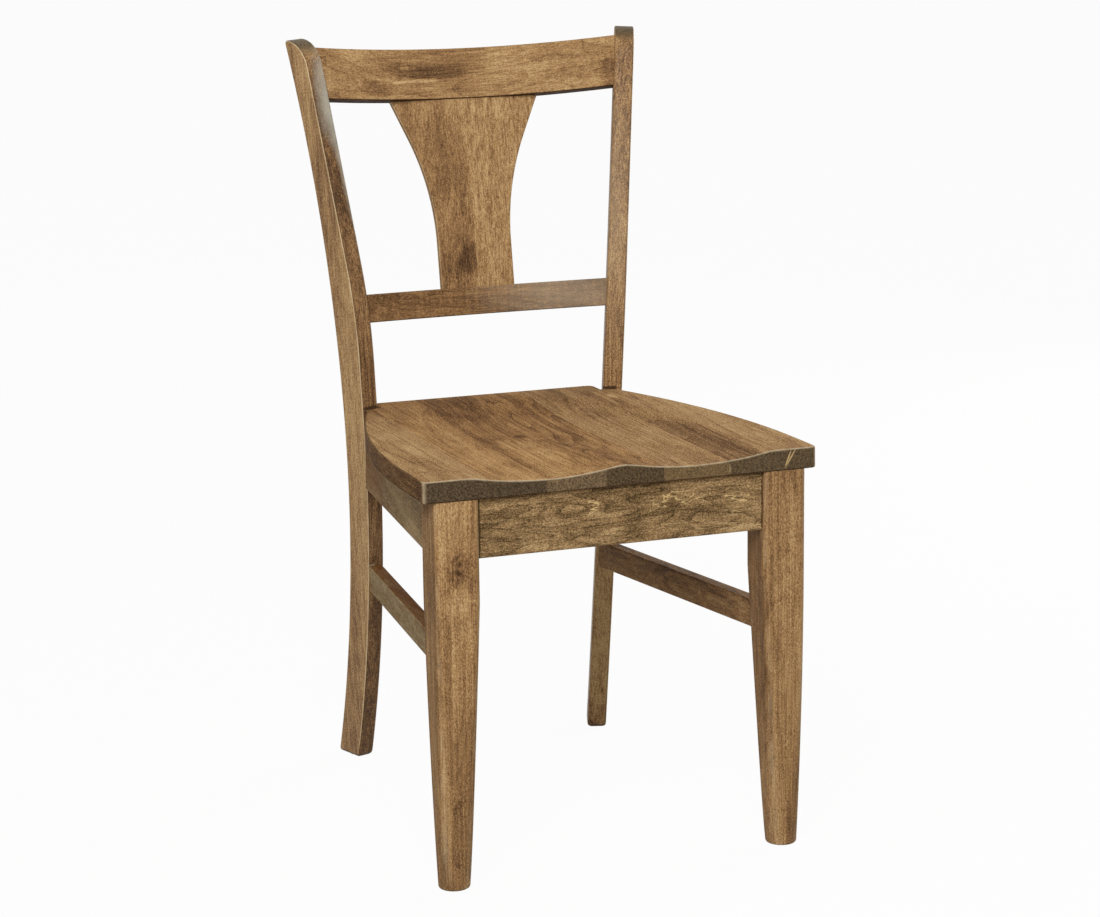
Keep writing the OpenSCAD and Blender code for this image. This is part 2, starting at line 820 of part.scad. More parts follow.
// The notch line runs parallel to the front face of a post, at a gap in front of it
notch_start = post_point(0, -post_notch_gap, seat_thickness / 2);
notch_end = post_point(post_thickness, -post_notch_gap, seat_thickness / 2);
function notch_y(x) = notch_start[1] + (notch_start[0] - x) * tan(post_splay);
seat_rear_half = notch_start[0] - 2;
side_sweep = acos(1 - (seat_width / 2 - seat_rear_half) / seat_side_radius);
tongue_half = notch_end[0] - tongue_gap;

seat_outline = mirrored(concat(
    arc(seat_width / 2 - seat_corner_radius, seat_corner_radius, seat_corner_radius,
        -90, 0, corner_steps),
    arc(seat_width / 2 - seat_side_radius, seat_side_straight, seat_side_radius,
        0, side_sweep, sweep_steps),
    [[seat_rear_half, notch_y(seat_rear_half)], [tongue_half, notch_y(tongue_half)]],
    arc(tongue_half - tongue_corner_radius, seat_depth - tongue_corner_radius,
        tongue_corner_radius, 0, 90, corner_steps)));

// Joints between the seven seat boards, as distances from the centre plane
seat_joints = [-153, -88, -20, 46, 122, 178];
seat_edges = concat([-seat_width], seat_joints, [seat_width]);

// Depth of the hollow at a place: a wide bowl, open at the front, less a ridge between the thighs
bowl_side_power = 4.5;
bowl_rear_power = 3;
scoop_rear = seat_depth - scoop_rear_margin;
bowl_rear_start = scoop_rear / 2;
ridge_power = 2;
function ridge(x, y) =
    pow(max(0, 1 - abs(x) / thigh_offset), ridge_power)
        * pow(max(0, 1 - y / ridge_length), ridge_power / 2);
function scoop(x, y) =
    let (half = seat_half_width(max(0, y)) - scoop_rim,
        side = pow(abs(x) / half, bowl_side_power),
        rear = pow(max(0, y - bowl_rear_start) / (scoop_rear - bowl_rear_start), bowl_rear_power))
    scoop_depth * (1 - side - rear - ridge(x, y));

// Number of strips along the seat, and about how wide they are across it
scoop_rows = 20;
scoop_step_x = 13;
// Outside the hollow its surface rises past the board, ever more slowly
function eased(depth) = depth > -1 ? depth : -1 - sqrt(-1 - depth);

// A strip between two joints whose top follows the hollow
module hollowed_strip(from, to) {
    a = max(from, -seat_width / 2 - 2 * over);
    b = min(to, seat_width / 2 + 2 * over);
    columns = ceil((b - a) / scoop_step_x);
    row = scoop_rows + 1;
    count = row * (columns + 1);
    xs = [for (i = [0:columns]) a + (b - a) * i / columns];
    ys = [for (j = [0:scoop_rows]) (seat_depth + 2 * over) * j / scoop_rows - over];
    top = [for (x = xs) for (y = ys) [x, y, seat_thickness - eased(scoop(x, y))]];
    // Points round the strip's edge, clockwise seen from above, and the same points below it
    ring = concat([for (j = [0:scoop_rows]) j],
        [for (i = [1:columns]) i * row + scoop_rows],
        [for (j = [scoop_rows - 1:-1:0]) columns * row + j],
        [for (i = [columns - 1:-1:1]) i * row]);
    sides = len(ring);
    base = [for (k = ring) [top[k][0], top[k][1], -over]];
    base_middle = [(a + b) / 2, seat_depth / 2, -over];
    lids = [for (i = [0:columns - 1]) for (j = [0:scoop_rows - 1]) let (k = i * row + j)
        each [[k, k + 1, k + row], [k + 1, k + row + 1, k + row]]];
    walls = [for (n = [0:sides - 1]) let (m = (n + 1) % sides)
        each [[ring[m], ring[n], count + n], [ring[m], count + n, count + m],
            [count + m, count + n, count + sides]]];
    polyhedron(concat(top, base, [base_middle]), concat(lids, walls));
}

module seat_board(number) {
    colour = [light_board_colour, wood_colour, light_board_colour, wood_colour,
        wood_colour, dark_board_colour, light_board_colour][number - 1];
    placed(colour)
        difference() {
            on_seat_plane() {
                intersection() {
                    linear_extrude(seat_thickness)
                        polygon(seat_outline);
                    hollowed_strip(seat_edges[number - 1], seat_edges[number]);
                }
            }
            both_sides()
                at_seat_screws()
                    screw(seat_screw_length, fit_gap);
        }
}

// Finished pieces

module back_post(side) {
    placed(wood_colour)
        on_side(side)
            difference() {
                post_blank();
                at_crest_dowels() dowel_hole(rail_dowel_length);
                at_lower_rail_dowels() dowel_hole(rail_dowel_length);
                at_rear_apron_dowels() dowel_hole(rail_dowel_length);
                at_side_apron_rear_dowels() dowel_hole(dowel_length);
                at_stretcher_rear_dowels() dowel_hole(dowel_length);
                at_rear_foot() glide(rear_glide_diameter, fit_gap);
            }
}

module crest_rail() {
    placed(wood_colour)
        difference() {
            intersection() {
                on_crest()
                    bent_board(crest_radius, crest_end[0], crest_thickness, crest_height);
                between_posts();
            }
            splat_blank(fit_gap);
            both_sides() at_crest_dowels() dowel_hole(rail_dowel_length);
        }
}

module lower_back_rail() {
    placed(wood_colour)
        difference() {
            intersection() {
                on_lower_rail()
                    bent_board(lower_rail_radius, lower_rail_end[0], lower_rail_thickness,
                        lower_rail_height);
                between_posts();
            }
            splat_blank(fit_gap);
            both_sides() at_lower_rail_dowels() dowel_hole(rail_dowel_length);
        }
}

module splat_board(side) {
    placed(wood_colour)
        on_side(side)
            intersection() {
                splat_blank(0);
                translate([0, -beyond, 0])
                    cube([beyond, 3 * beyond, beyond]);
            }
}

module front_leg(side) {
    placed(wood_colour)
        on_side(side)
            difference() {
                leg_blank();
                at_front_apron_dowels() dowel_hole(dowel_length);
                at_side_apron_front_dowels() dowel_hole(dowel_length);
                at_stretcher_front_dowels() dowel_hole(dowel_length);
                at_front_foot() glide(front_glide_diameter, fit_gap);
            }
}

module front_apron() {
    placed(wood_colour)
        difference() {
            front_apron_blank();
            both_sides() {
                at_front_apron_dowels() dowel_hole(dowel_length);
                at_front_block_screws() screw(block_screw_length, fit_gap);
            }
        }
}

module rear_apron() {
    placed(wood_colour)
        difference() {
            rear_apron_blank();
            both_sides() {
                at_rear_apron_dowels() dowel_hole(rail_dowel_length);
                at_rear_block_screws() screw(block_screw_length, fit_gap);
            }
        }
}

module side_apron(side) {
    placed(wood_colour)
        on_side(side)
            difference() {
                side_apron_blank();
                at_side_apron_front_dowels() dowel_hole(dowel_length);
                at_side_apron_rear_dowels() dowel_hole(dowel_length);
                at_front_block_screws() screw(block_screw_length, fit_gap);
                at_rear_block_screws() screw(block_screw_length, fit_gap);
            }
}

module side_stretcher(side) {
    placed(wood_colour)
        on_side(side)
            difference() {
                stretcher_blank();
                at_stretcher_front_dowels() dowel_hole(dowel_length);
                at_stretcher_rear_dowels() dowel_hole(dowel_length);
            }
}

module front_block(side) {
    placed(bare_wood_colour)
        on_side(side)
            difference() {
                block_body(front_block_plan, front_block_top);
                at_front_block_screws() {
                    screw(block_screw_length, fit_gap);
                    screw_way(block_reach);
                }
                at_seat_screws() screw(seat_screw_length, fit_gap);
            }
}

module rear_block(side) {
    placed(bare_wood_colour)
        on_side(side)
            difference() {
                block_body(rear_block_plan, rear_block_top);
                at_rear_block_screws() {
                    screw(block_screw_length, fit_gap);
                    screw_way(block_reach);
                }
                at_seat_screws() screw(seat_screw_length, fit_gap);
            }
}

module crest_dowels() {
    placed(bare_wood_colour)
        both_sides() at_crest_dowels() dowel(rail_dowel_length);
}

module lower_rail_dowels() {
    placed(bare_wood_colour)
        both_sides() at_lower_rail_dowels() dowel(rail_dowel_length);
}

module front_apron_dowels() {
    placed(bare_wood_colour)
        both_sides() at_front_apron_dowels() dowel(dowel_length);
}

module rear_apron_dowels() {
    placed(bare_wood_colour)
        both_sides() at_rear_apron_dowels() dowel(rail_dowel_length);
}

module side_apron_front_dowels() {
    placed(bare_wood_colour)
        both_sides() at_side_apron_front_dowels() dowel(dowel_length);
}

module side_apron_rear_dowels() {
    placed(bare_wood_colour)
        both_sides() at_side_apron_rear_dowels() dowel(dowel_length);
}

module stretcher_front_dowels() {
    placed(bare_wood_colour)
        both_sides() at_stretcher_front_dowels() dowel(dowel_length);
}

module stretcher_rear_dowels() {
    placed(bare_wood_colour)
        both_sides() at_stretcher_rear_dowels() dowel(dowel_length);
}

module block_screws() {
    placed(steel_colour)
        both_sides() {
            at_front_block_screws() screw(block_screw_length, 0);
            at_rear_block_screws() screw(block_screw_length, 0);
        }
}

module seat_screws() {
    placed(steel_colour)
        both_sides() at_seat_screws() screw(seat_screw_length, 0);
}

// Glides

glide_round = glide_height / 2;

// A nail-on glide that stands on the floor at the origin, larger by a clearance where it is cut out
module glide(diameter, gap) {
    rotate_extrude($fn = round_facets)
        polygon([[0, 0], [diameter / 2 - glide_round, 0], [diameter / 2, glide_round],
            [diameter / 2, glide_height], [glide_nail_diameter / 2 + gap, glide_height],
            [glide_nail_diameter / 2 + gap, glide_height + glide_nail_length + gap],
            [0, glide_height + glide_nail_length + gap]]);
}

// Middle of the right-hand post's foot on the floor
foot_board_height = -underside / cos(post_lean);
rear_foot = post_point(post_thickness / 2,
    (post_front(foot_board_height) + post_back(foot_board_height)) / 2, foot_board_height);

module at_rear_foot() {
    translate([rear_foot[0], rear_foot[1], 0]) children();
}

module front_glides() {
    placed(glide_colour)
        both_sides() at_front_foot() glide(front_glide_diameter, 0);
}

module rear_glides() {
    placed(glide_colour)
        both_sides() at_rear_foot() glide(rear_glide_diameter, 0);
}

back_post(left);  // left_back_post
back_post(right);  // right_back_post
crest_rail();
lower_back_rail();
splat_board(left);  // splat_left_board
splat_board(right);  // splat_right_board
front_leg(left);  // left_front_leg
front_leg(right);  // right_front_leg
front_apron();
rear_apron();
side_apron(left);  // left_side_apron
side_apron(right);  // right_side_apron
side_stretcher(left);  // left_side_stretcher
side_stretcher(right);  // right_side_stretcher
seat_board(1);  // seat_board_1
seat_board(2);  // seat_board_2
seat_board(3);  // seat_board_3
seat_board(4);  // seat_board_4
seat_board(5);  // seat_board_5
seat_board(6);  // seat_board_6
seat_board(7);  // seat_board_7
front_block(left);  // front_left_block
front_block(right);  // front_right_block
rear_block(left);  // rear_left_block
rear_block(right);  // rear_right_block
crest_dowels();
lower_rail_dowels();
front_apron_dowels();
rear_apron_dowels();
side_apron_front_dowels();
side_apron_rear_dowels();
stretcher_front_dowels();
stretcher_rear_dowels();
block_screws();
seat_screws();
front_glides();
rear_glides();
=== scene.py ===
import math

import bmesh
import bpy
from mathutils import Matrix, Vector


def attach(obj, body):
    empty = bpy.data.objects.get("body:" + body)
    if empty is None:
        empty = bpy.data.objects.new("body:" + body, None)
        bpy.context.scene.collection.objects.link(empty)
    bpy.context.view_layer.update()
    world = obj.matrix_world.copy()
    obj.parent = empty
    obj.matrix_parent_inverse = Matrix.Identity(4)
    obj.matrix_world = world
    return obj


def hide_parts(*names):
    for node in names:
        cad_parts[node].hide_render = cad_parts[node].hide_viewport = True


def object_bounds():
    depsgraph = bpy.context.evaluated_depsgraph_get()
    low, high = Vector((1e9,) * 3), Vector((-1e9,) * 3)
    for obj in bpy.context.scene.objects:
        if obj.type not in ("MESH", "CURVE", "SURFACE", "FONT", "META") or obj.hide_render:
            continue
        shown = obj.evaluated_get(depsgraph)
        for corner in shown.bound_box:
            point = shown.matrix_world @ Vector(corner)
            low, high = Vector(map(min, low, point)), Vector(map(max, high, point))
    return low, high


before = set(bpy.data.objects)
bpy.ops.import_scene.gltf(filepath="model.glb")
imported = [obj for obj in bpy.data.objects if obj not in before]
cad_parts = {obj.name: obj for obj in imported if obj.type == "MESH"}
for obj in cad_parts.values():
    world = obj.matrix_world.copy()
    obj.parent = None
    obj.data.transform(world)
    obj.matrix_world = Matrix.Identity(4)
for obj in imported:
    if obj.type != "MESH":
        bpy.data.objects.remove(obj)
cadLow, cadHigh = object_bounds()
print("frame loaded,", len(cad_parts), "pieces")

mm = 0.001
# Pieces are modelled in mm, from the floor under the seat's front edge, with y running back
toChair = Matrix.Translation((0, cadLow.y, 0)) @ Matrix.Scale(mm, 4)
sides = {"left": -1, "right": 1}     # as seen from the front
unmoved = Matrix.Identity(4)

# Camera, fitted to the photograph, in the pieces' own axes
view = {
    "place": (-1140.1, -2902.6, 1154.8),
    "turn": -19.881,              # degrees about the vertical
    "tilt": 12.239,               # degrees below the horizon
    "roll": -0.772,
    "focal": 2986.76,             # px
    "centre": (544.67, 446.27),   # px
    "frame": (1100, 917),
}


def makeCamera():
    width, height = view["frame"]
    data = bpy.data.cameras.new("camera")
    data.sensor_width = 36
    data.lens = view["focal"] / width * data.sensor_width
    data.shift_x = (width / 2 - view["centre"][0]) / width
    data.shift_y = (view["centre"][1] - height / 2) / width
    data.clip_end = 100
    camera = bpy.data.objects.new("camera", data)
    aim = (Matrix.Rotation(math.radians(view["turn"]), 4, "Z")
           @ Matrix.Rotation(math.radians(90 - view["tilt"]), 4, "X")
           @ Matrix.Rotation(math.radians(view["roll"]), 4, "Z"))
    camera.matrix_world = Matrix.Translation(toChair @ Vector(view["place"])) @ aim
    bpy.context.scene.collection.objects.link(camera)
    bpy.context.scene.camera = camera


makeCamera()
print("camera placed")


# Modelling helpers

def startBlock(low, high):
    bm = bmesh.new()
    bm.verts.layers.float.new("wearAndPaintedLight")
    bmesh.ops.create_cube(bm, size=1)
    low, high = Vector(low), Vector(high)
    bmesh.ops.scale(bm, vec=high - low, verts=bm.verts)
    bmesh.ops.translate(bm, vec=(low + high) / 2, verts=bm.verts)
    return bm


def slices(bm, normal, places):
    for place in places:
        bmesh.ops.bisect_plane(bm, geom=bm.verts[:] + bm.edges[:] + bm.faces[:], dist=0.001,
                               plane_co=Vector(normal) * place, plane_no=normal)


# Cuts away what lies beyond a plane, and closes the cut
def cutOff(bm, point, normal):
    bmesh.ops.bisect_plane(bm, geom=bm.verts[:] + bm.edges[:] + bm.faces[:], dist=0.001,
                           plane_co=point, plane_no=normal, clear_outer=True)
    bmesh.ops.holes_fill(bm, edges=[e for e in bm.edges if e.is_boundary])


def steps(start, end, size):
    count = max(1, math.ceil(abs(end - start) / size))
    return [start + (end - start) * i / count for i in range(count + 1)]


def sharpEdges(bm, limit=35):
    bm.normal_update()
    return [e for e in bm.edges
            if len(e.link_faces) == 2 and e.calc_face_angle() > math.radians(limit)]


# Rounds edges, and marks the middle of the rounding pale, for wear with a painted highlight, and
# its sides darker, for pooled stain with painted shade
def roundEdges(bm, edges, radius, wornAndHighlit=1, pooledStainAndShade=0.3):
    wearAndPaintedLight = bm.verts.layers.float["wearAndPaintedLight"]
    made = bmesh.ops.bevel(bm, geom=edges, offset=radius, offset_type="OFFSET", segments=4,
                           profile=0.5, affect="EDGES", material=-1)
    rounding = set(made["faces"])
    inside = {v for v in made["verts"] if all(face in rounding for face in v.link_faces)}
    for vert in inside:
        middle = all(edge.other_vert(vert) in inside for edge in vert.link_edges)
        vert[wearAndPaintedLight] = wornAndHighlit if middle else -pooledStainAndShade


# Makes the finished piece that stands for a CAD node
def finishPiece(name, bm, material, matrix=unmoved):
    bmesh.ops.transform(bm, matrix=toChair @ matrix, verts=bm.verts)
    bmesh.ops.recalc_face_normals(bm, faces=bm.faces)
    mesh = bpy.data.meshes.new(name)
    bm.to_mesh(mesh)
    bm.free()
    mesh.shade_smooth()
    mesh.set_sharp_from_angle(angle=math.radians(50))
    mesh.materials.append(material)
    piece = bpy.data.objects.new(name, mesh)
    bpy.context.scene.collection.objects.link(piece)
    flat = piece.modifiers.new("keeps flat faces flat", "WEIGHTED_NORMAL")
    flat.keep_sharp = True
    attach(piece, "root")
    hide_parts(name)


def swept(radius, run):
    return radius - math.sqrt(radius * radius - run * run)


def turned(axis, degrees):
    return Matrix.Rotation(math.radians(degrees), 4, axis)


# A place worked out for the right-hand piece, mirrored for the left-hand one
def onSide(side, matrix=unmoved):
    return Matrix.Diagonal((side, 1, 1, 1)) @ matrix


# Materials

def linear(code):
    parts = [int(code[i:i + 2], 16) / 255 for i in (1, 3, 5)]
    return [p / 12.92 if p <= 0.04045 else ((p + 0.055) / 1.055) ** 2.4 for p in parts] + [1]


# Adds a node with its settings, and a ramp's stops. An input is a value, an output, or a node,
# which stands for its first output.
def addNode(tree, kind, inputs, stops=(), **settings):
    node = tree.nodes.new("ShaderNode" + kind)
    for key, value in settings.items():
        setattr(node, key, value)
    for key, value in inputs.items():
        if isinstance(value, bpy.types.Node):
            value = value.outputs[0]
        if isinstance(value, bpy.types.NodeSocket):
            tree.links.new(value, node.inputs[key])
        else:
            node.inputs[key].default_value = value
    for i, (place, code) in enumerate(stops):
        element = node.color_ramp.elements[i] if i < 2 else node.color_ramp.elements.new(1)
        element.position = place
        element.color = linear(code)
    return node


# Hard maple, planed and sanded, wiped with a brown stain and sprayed with satin lacquer.
# The stain takes unevenly: fine dots, thin lines and slow drifts along the grain, growth lines,
# knots, and nearly black end grain. Rounded edges are rubbed pale and carry painted highlights,
# with stain and painted shade left beside them. Whole sides and patches get painted light,
# shade and sheen where listed.
maple = {
    "axis": "Z",                            # direction of the grain
    "shift": (0, 0, 0),                     # mm, so that no two boards show the same figure
    "tones": ("#4a3523", "#78593b", "#a17c53", "#c7a777"),
    "toneStops": (0.14, 0.38, 0.6, 0.88),
    "lift": 0.0,                            # paler or darker board
    "contrast": 1.0,
    "faces": (),                            # way a face looks, and how much paler or darker that side is painted, as painted light and shade
    "end": ("#3a3025", "#574736"),          # end grain
    "endMarks": (5, 2, 3),                  # length, width, detail
    # pale of rubbed edges with painted highlights, and dark of pooled stain with painted shade
    "wornAndHighlit": "#cdb995",
    "pooledStainAndShade": "#3b2a1b",
    "edges": (0.0, 0.35),                   # how much of the rounded edges is painted pale, for wear and a painted highlight
    "edgeMarks": (40, 9, 3),                # length, width, detail
    # marks that run with the grain: length and width in mm, detail, weight
    "layers": (
        (320, 55, 2, 0.7),                  # drifts
        (150, 9, 3, 0.45),                  # streaks
        (110, 1.6, 2, 0.7),                 # lines
        (40, 26, 2, 0.2),                   # clouds
        (1.8, 1.1, 1, 1.0),                 # dots, drawn coarser than the wood's own
    ),
    "growth": (260, 44, 13, 0.1),           # length and width of the figure, its lines, weight
    "curl": (5, 38, 0.0),                   # stripes across the grain: length, width, weight
    "fleck": (5, 1.3, 0.4),                 # pores: length, width, weight
    "fleckTone": "#3a2919",
    "spots": (),                            # place, reach in mm and how much paler or darker
    "knots": (),                            # place and reach in mm
    "knotDepth": 0.36,
    "tracks": (),                           # place and reach in mm of insects' pale tracks
    "trackMarks": (30, 10, 3, 0.6),         # length, width, detail, distortion
    "trackTone": "#d4b47e",
    "touches": (),                          # pale lines and marks, and painted sheen: place, reach, lean, weight, tone
    "ragged": (30, 8, 3),                   # edges of all of these: length, width, detail
    "gloss": (0.04, 0.42, 0.62),            # specular level, least and most roughness
    "glossMarks": (9, 5, 2),                # length, width, detail
    "relief": 0.3,
}
grainTurn = {"X": (0, 0, 0), "Y": (0, 0, -90), "Z": (0, 90, 0)}
grainWay = {"X": (1, 0, 0), "Y": (0, 1, 0), "Z": (0, 0, 1)}


def stainedMaple(name, **changes):
    look = {**maple, **changes}
    material = bpy.data.materials.new(name)
    material.use_nodes = True
    tree = material.node_tree
    tree.nodes.clear()
    place = addNode(tree, "TexCoord", {})
    turn = addNode(tree, "Mapping", {
        "Vector": place.outputs["Object"],
        "Rotation": [math.radians(a) for a in grainTurn[look["axis"]]],
        "Location": [s * mm for s in look["shift"]]})

    # Noise drawn out along the grain
    def marks(length, width, detail, distortion=0.0):
        grain = addNode(tree, "Mapping", {
            "Vector": turn, "Scale": (1 / (length * mm), 1 / (width * mm), 1 / (width * mm))})
        return addNode(tree, "TexNoise", {
            "Vector": grain, "Scale": 1, "Detail": detail, "Roughness": 0.5,
            "Distortion": distortion})

    # Adds a weighted value to the tone, which runs from 0, dark, to 1, pale
    def added(value, weight, tone, middle=0.5):
        lowered = addNode(tree, "Math", {0: tone, 1: -middle * weight}, operation="ADD")
        return addNode(tree, "Math", {0: value, 1: weight, 2: lowered}, operation="MULTIPLY_ADD")

    # Distance from a place as a share of the reach, with a ragged edge
    def away(middle, reach, ragged, lean=0):
        fromMiddle = addNode(tree, "Mapping", {
            "Vector": place.outputs["Object"], "Location": toChair @ Vector(middle),
            "Rotation": (0, math.radians(lean), 0), "Scale": [r * mm for r in reach]},
            vector_type="TEXTURE")
        far = addNode(tree, "VectorMath", {0: fromMiddle}, operation="LENGTH")
        less = addNode(tree, "Math", {0: far.outputs["Value"], 1: -ragged / 2}, operation="ADD")
        return addNode(tree, "Math", {0: edge, 1: ragged, 2: less}, operation="MULTIPLY_ADD")

    # Falls from a strength to nothing between two of those distances
    def fading(distance, inner, outer, strength=1):
        return addNode(tree, "MapRange", {
            "Value": distance, "From Min": inner, "From Max": outer,
            "To Min": strength, "To Max": 0})

    edge = marks(*look["ragged"])
    tone = 0.5 + look["lift"]
    for length, width, detail, weight in look["layers"]:
        tone = added(marks(length, width, detail), weight * look["contrast"], tone)

    # Growth lines are contours of a long soft noise, sharp on their late side
    length, width, lines, weight = look["growth"]
    contours = addNode(tree, "Math", {
        0: marks(length, width, 1, 0.3), 1: lines}, operation="MULTIPLY")
    late = addNode(tree, "Math", {0: contours}, operation="FRACT")
    tone = added(addNode(tree, "Math", {0: late, 1: 3}, operation="POWER"), -weight, tone, 0.25)

    length, width, weight = look["curl"]
    if weight:
        tone = added(marks(length, width, 2, 0.4), weight, tone)
    # Sides painted paler or darker by the way they face: painted light and shade
    for way, weight in look["faces"]:
        facing = addNode(tree, "VectorMath", {
            0: place.outputs["Normal"], 1: Vector(way).normalized()}, operation="DOT_PRODUCT")
        paintedSideLight = addNode(tree, "MapRange", {
            "Value": facing.outputs["Value"], "From Min": 0.6, "From Max": 0.95})
        tone = added(paintedSideLight, weight, tone, 0)
    for middle, reach, weight in look["spots"]:
        tone = added(fading(away(middle, reach, 1.6), 0.5, 1.1), weight, tone, 0)
    for middle, reach in look["knots"]:
        far = away(middle, reach, 0.8)
        turns = addNode(tree, "Math", {0: far, 1: 9}, operation="MULTIPLY")
        waves = addNode(tree, "Math", {0: turns}, operation="COSINE")
        rings = addNode(tree, "Math", {0: waves, 1: 0.35, 2: 0.65}, operation="MULTIPLY_ADD")
        dark = addNode(tree, "Math", {0: rings, 1: fading(far, 0.2, 1.4)}, operation="MULTIPLY")
        tone = added(dark, -look["knotDepth"], tone, 0)

    # Coats over the stained wood, each an amount and a colour, from the lowest up. Some are painted
    # light: sheen, edge highlights and shade.
    length, width, weight = look["fleck"]
    pores = addNode(tree, "MapRange", {
        "Value": marks(length, width, 1), "From Min": 0.58, "From Max": 0.74, "To Max": weight})
    coats = [(pores, linear(look["fleckTone"]))]
    for middle, reach in look["tracks"]:
        level = addNode(tree, "Math", {
            0: marks(*look["trackMarks"]), 1: 0.52}, operation="SUBTRACT")
        line = fading(addNode(tree, "Math", {0: level}, operation="ABSOLUTE"), 0.006, 0.026, 0.85)
        within = fading(away(middle, reach, 1.6), 0.8, 1)
        track = addNode(tree, "Math", {0: line, 1: within}, operation="MULTIPLY")
        coats.append((track, linear(look["trackTone"])))

    # End grain shows wherever the surface faces along the board
    along = addNode(tree, "VectorMath", {
        0: place.outputs["Normal"], 1: grainWay[look["axis"]]}, operation="DOT_PRODUCT")
    either = addNode(tree, "Math", {0: along.outputs["Value"]}, operation="ABSOLUTE")
    sawn = addNode(tree, "MapRange", {"Value": either, "From Min": 0.55, "From Max": 0.85})
    endTone = addNode(tree, "ValToRGB", {"Fac": marks(*look["endMarks"])},
                      stops=zip((0.34, 0.66), look["end"]))
    coats.append((sawn, endTone))
    # Pale marks, and painted sheen laid as a greyish pale veil
    for middle, reach, lean, weight, paint in look["touches"]:
        coats.append((fading(away(middle, reach, 0.6, lean), 0.3, 1.1, weight), linear(paint)))

    # Edges painted pale, for wear with painted highlights, and dark, for pooled stain with painted
    # shade
    wearAndPaintedLight = addNode(tree, "Attribute", {}, attribute_name="wearAndPaintedLight").outputs["Fac"]
    pooledStainAndShade = addNode(tree, "MapRange", {
        "Value": wearAndPaintedLight, "From Min": 0, "From Max": -1, "To Max": 0.75})
    rim = addNode(tree, "MapRange", {"Value": wearAndPaintedLight, "From Min": 0, "From Max": 1})
    least, most = look["edges"]
    patchy = addNode(tree, "MapRange", {
        "Value": marks(*look["edgeMarks"]), "From Min": 0.36, "From Max": 0.64,
        "To Min": least, "To Max": most})
    rubbedAndHighlit = addNode(tree, "Math", {0: rim, 1: patchy}, operation="MULTIPLY")
    coats += [(pooledStainAndShade, linear(look["pooledStainAndShade"])), (rubbedAndHighlit, linear(look["wornAndHighlit"]))]

    surface = addNode(tree, "ValToRGB", {"Fac": tone}, stops=zip(look["toneStops"], look["tones"]))
    for amount, paint in coats:
        mix = addNode(tree, "Mix", {0: amount, 6: surface, 7: paint}, data_type="RGBA")
        surface = mix.outputs[2]

    specular, least, most = look["gloss"]
    uneven = addNode(tree, "MapRange", {
        "Value": marks(*look["glossMarks"]), "From Min": 0.3, "From Max": 0.7,
        "To Min": least, "To Max": most})
    polish = addNode(tree, "Math", {0: rubbedAndHighlit, 1: 0.1}, operation="MULTIPLY")
    shader = addNode(tree, "BsdfPrincipled", {
        "Base Color": surface, "IOR": 1.5, "Specular IOR Level": specular,
        "Roughness": addNode(tree, "Math", {0: uneven, 1: polish}, operation="SUBTRACT"),
        "Normal": addNode(tree, "Bump", {
            "Strength": look["relief"], "Distance": 0.3 * mm, "Height": tone})})
    addNode(tree, "OutputMaterial", {"Surface": shader})
    return material


# Seat: seven glued boards, scooped, with rounded rims
seat = {
    "height": 458, "thickness": 24, "width": 454, "depth": 466, "slope": 1.05,
    "cornerRadius": 7, "sideStraight": 60, "sideRadius": 1020,
    "tongueCorner": 9, "tongueGap": 1.5, "notchGap": 0.5, "postOverlap": 2,
    "scoopDepth": 9, "scoopRim": 57, "scoopRear": 425, "thighOffset": 88, "ridgeLength": 190,
    "joints": (-153, -88, -20, 46, 122, 178),
    "topRound": 2.2, "bottomRound": 1.6, "stepX": 8, "stepY": 11,
}
underside = seat["height"] - seat["thickness"]
onSeat = Matrix.Translation((0, 0, underside)) @ turned("X", -seat["slope"])


def undersideAt(y):
    return underside - y * math.tan(math.radians(seat["slope"]))


# Back posts: sawn from a board, swept back below the seat and bent back above it
post = {
    "height": 882, "thickness": 23.5, "depth": 40, "edgeX": 164, "edgeY": 426,
    "splay": 19.5, "lean": 2.8, "recline": 12.75,
    "bendRadius": 550, "bendStart": 70, "sweepStart": -10, "waist": -24,
    "frontSweep": 1550, "backSweep": 1450, "topRadius": 40, "topFlat": 5.5,
    "topCorner": 5, "edgeRound": 2, "innerRound": 4.5, "footRound": 5, "footGap": 0.8,
    "fadeTop": 6, "fadeRun": 24,         # where the inner rounding fades out, below the top
    "stepStraight": 18, "stepBent": 14, "stepTop": 6,
    "footSteps": (0.06, 0.2, 0.5, 1),    # shares of the foot's rounding
}
postLean, postTip, postSplay = (math.radians(post[k]) for k in ("lean", "recline", "splay"))
postRise = ((post["height"] - underside - post["thickness"] * math.sin(postLean))
            / math.cos(postLean))
bendTop = post["bendStart"] + post["bendRadius"] * math.sin(postTip)
bendDepth = post["bendRadius"] * (1 - math.cos(postTip))
topCentre = postRise - post["topRadius"]
topCentreDepth = (bendDepth + (topCentre - bendTop) * math.tan(postTip)
                  + post["topRadius"] / math.cos(postTip))
backRun = topCentreDepth + post["topFlat"] - post["depth"]
backRise = (backRun ** 2 + (postRise - post["waist"]) ** 2) / (2 * backRun)


# Depth of the post's front and back edges at a height along its board
def postFront(h):
    if h < post["sweepStart"]:
        return swept(post["frontSweep"], post["sweepStart"] - h)
    if h < post["bendStart"]:
        return 0
    if h < bendTop:
        return swept(post["bendRadius"], h - post["bendStart"])
    if h < topCentre + post["topRadius"] * math.sin(postTip):
        return bendDepth + (h - bendTop) * math.tan(postTip)
    rise = min(h - topCentre, post["topRadius"])
    return topCentreDepth - math.sqrt(post["topRadius"] ** 2 - rise * rise)


def postBack(h):
    radius = post["backSweep"] if h < post["waist"] else backRise
    return post["depth"] + swept(radius, abs(h - post["waist"]))


onPost = (Matrix.Translation((post["edgeX"], post["edgeY"], underside))
          @ turned("Z", -post["splay"]) @ turned("Y", post["lean"]))


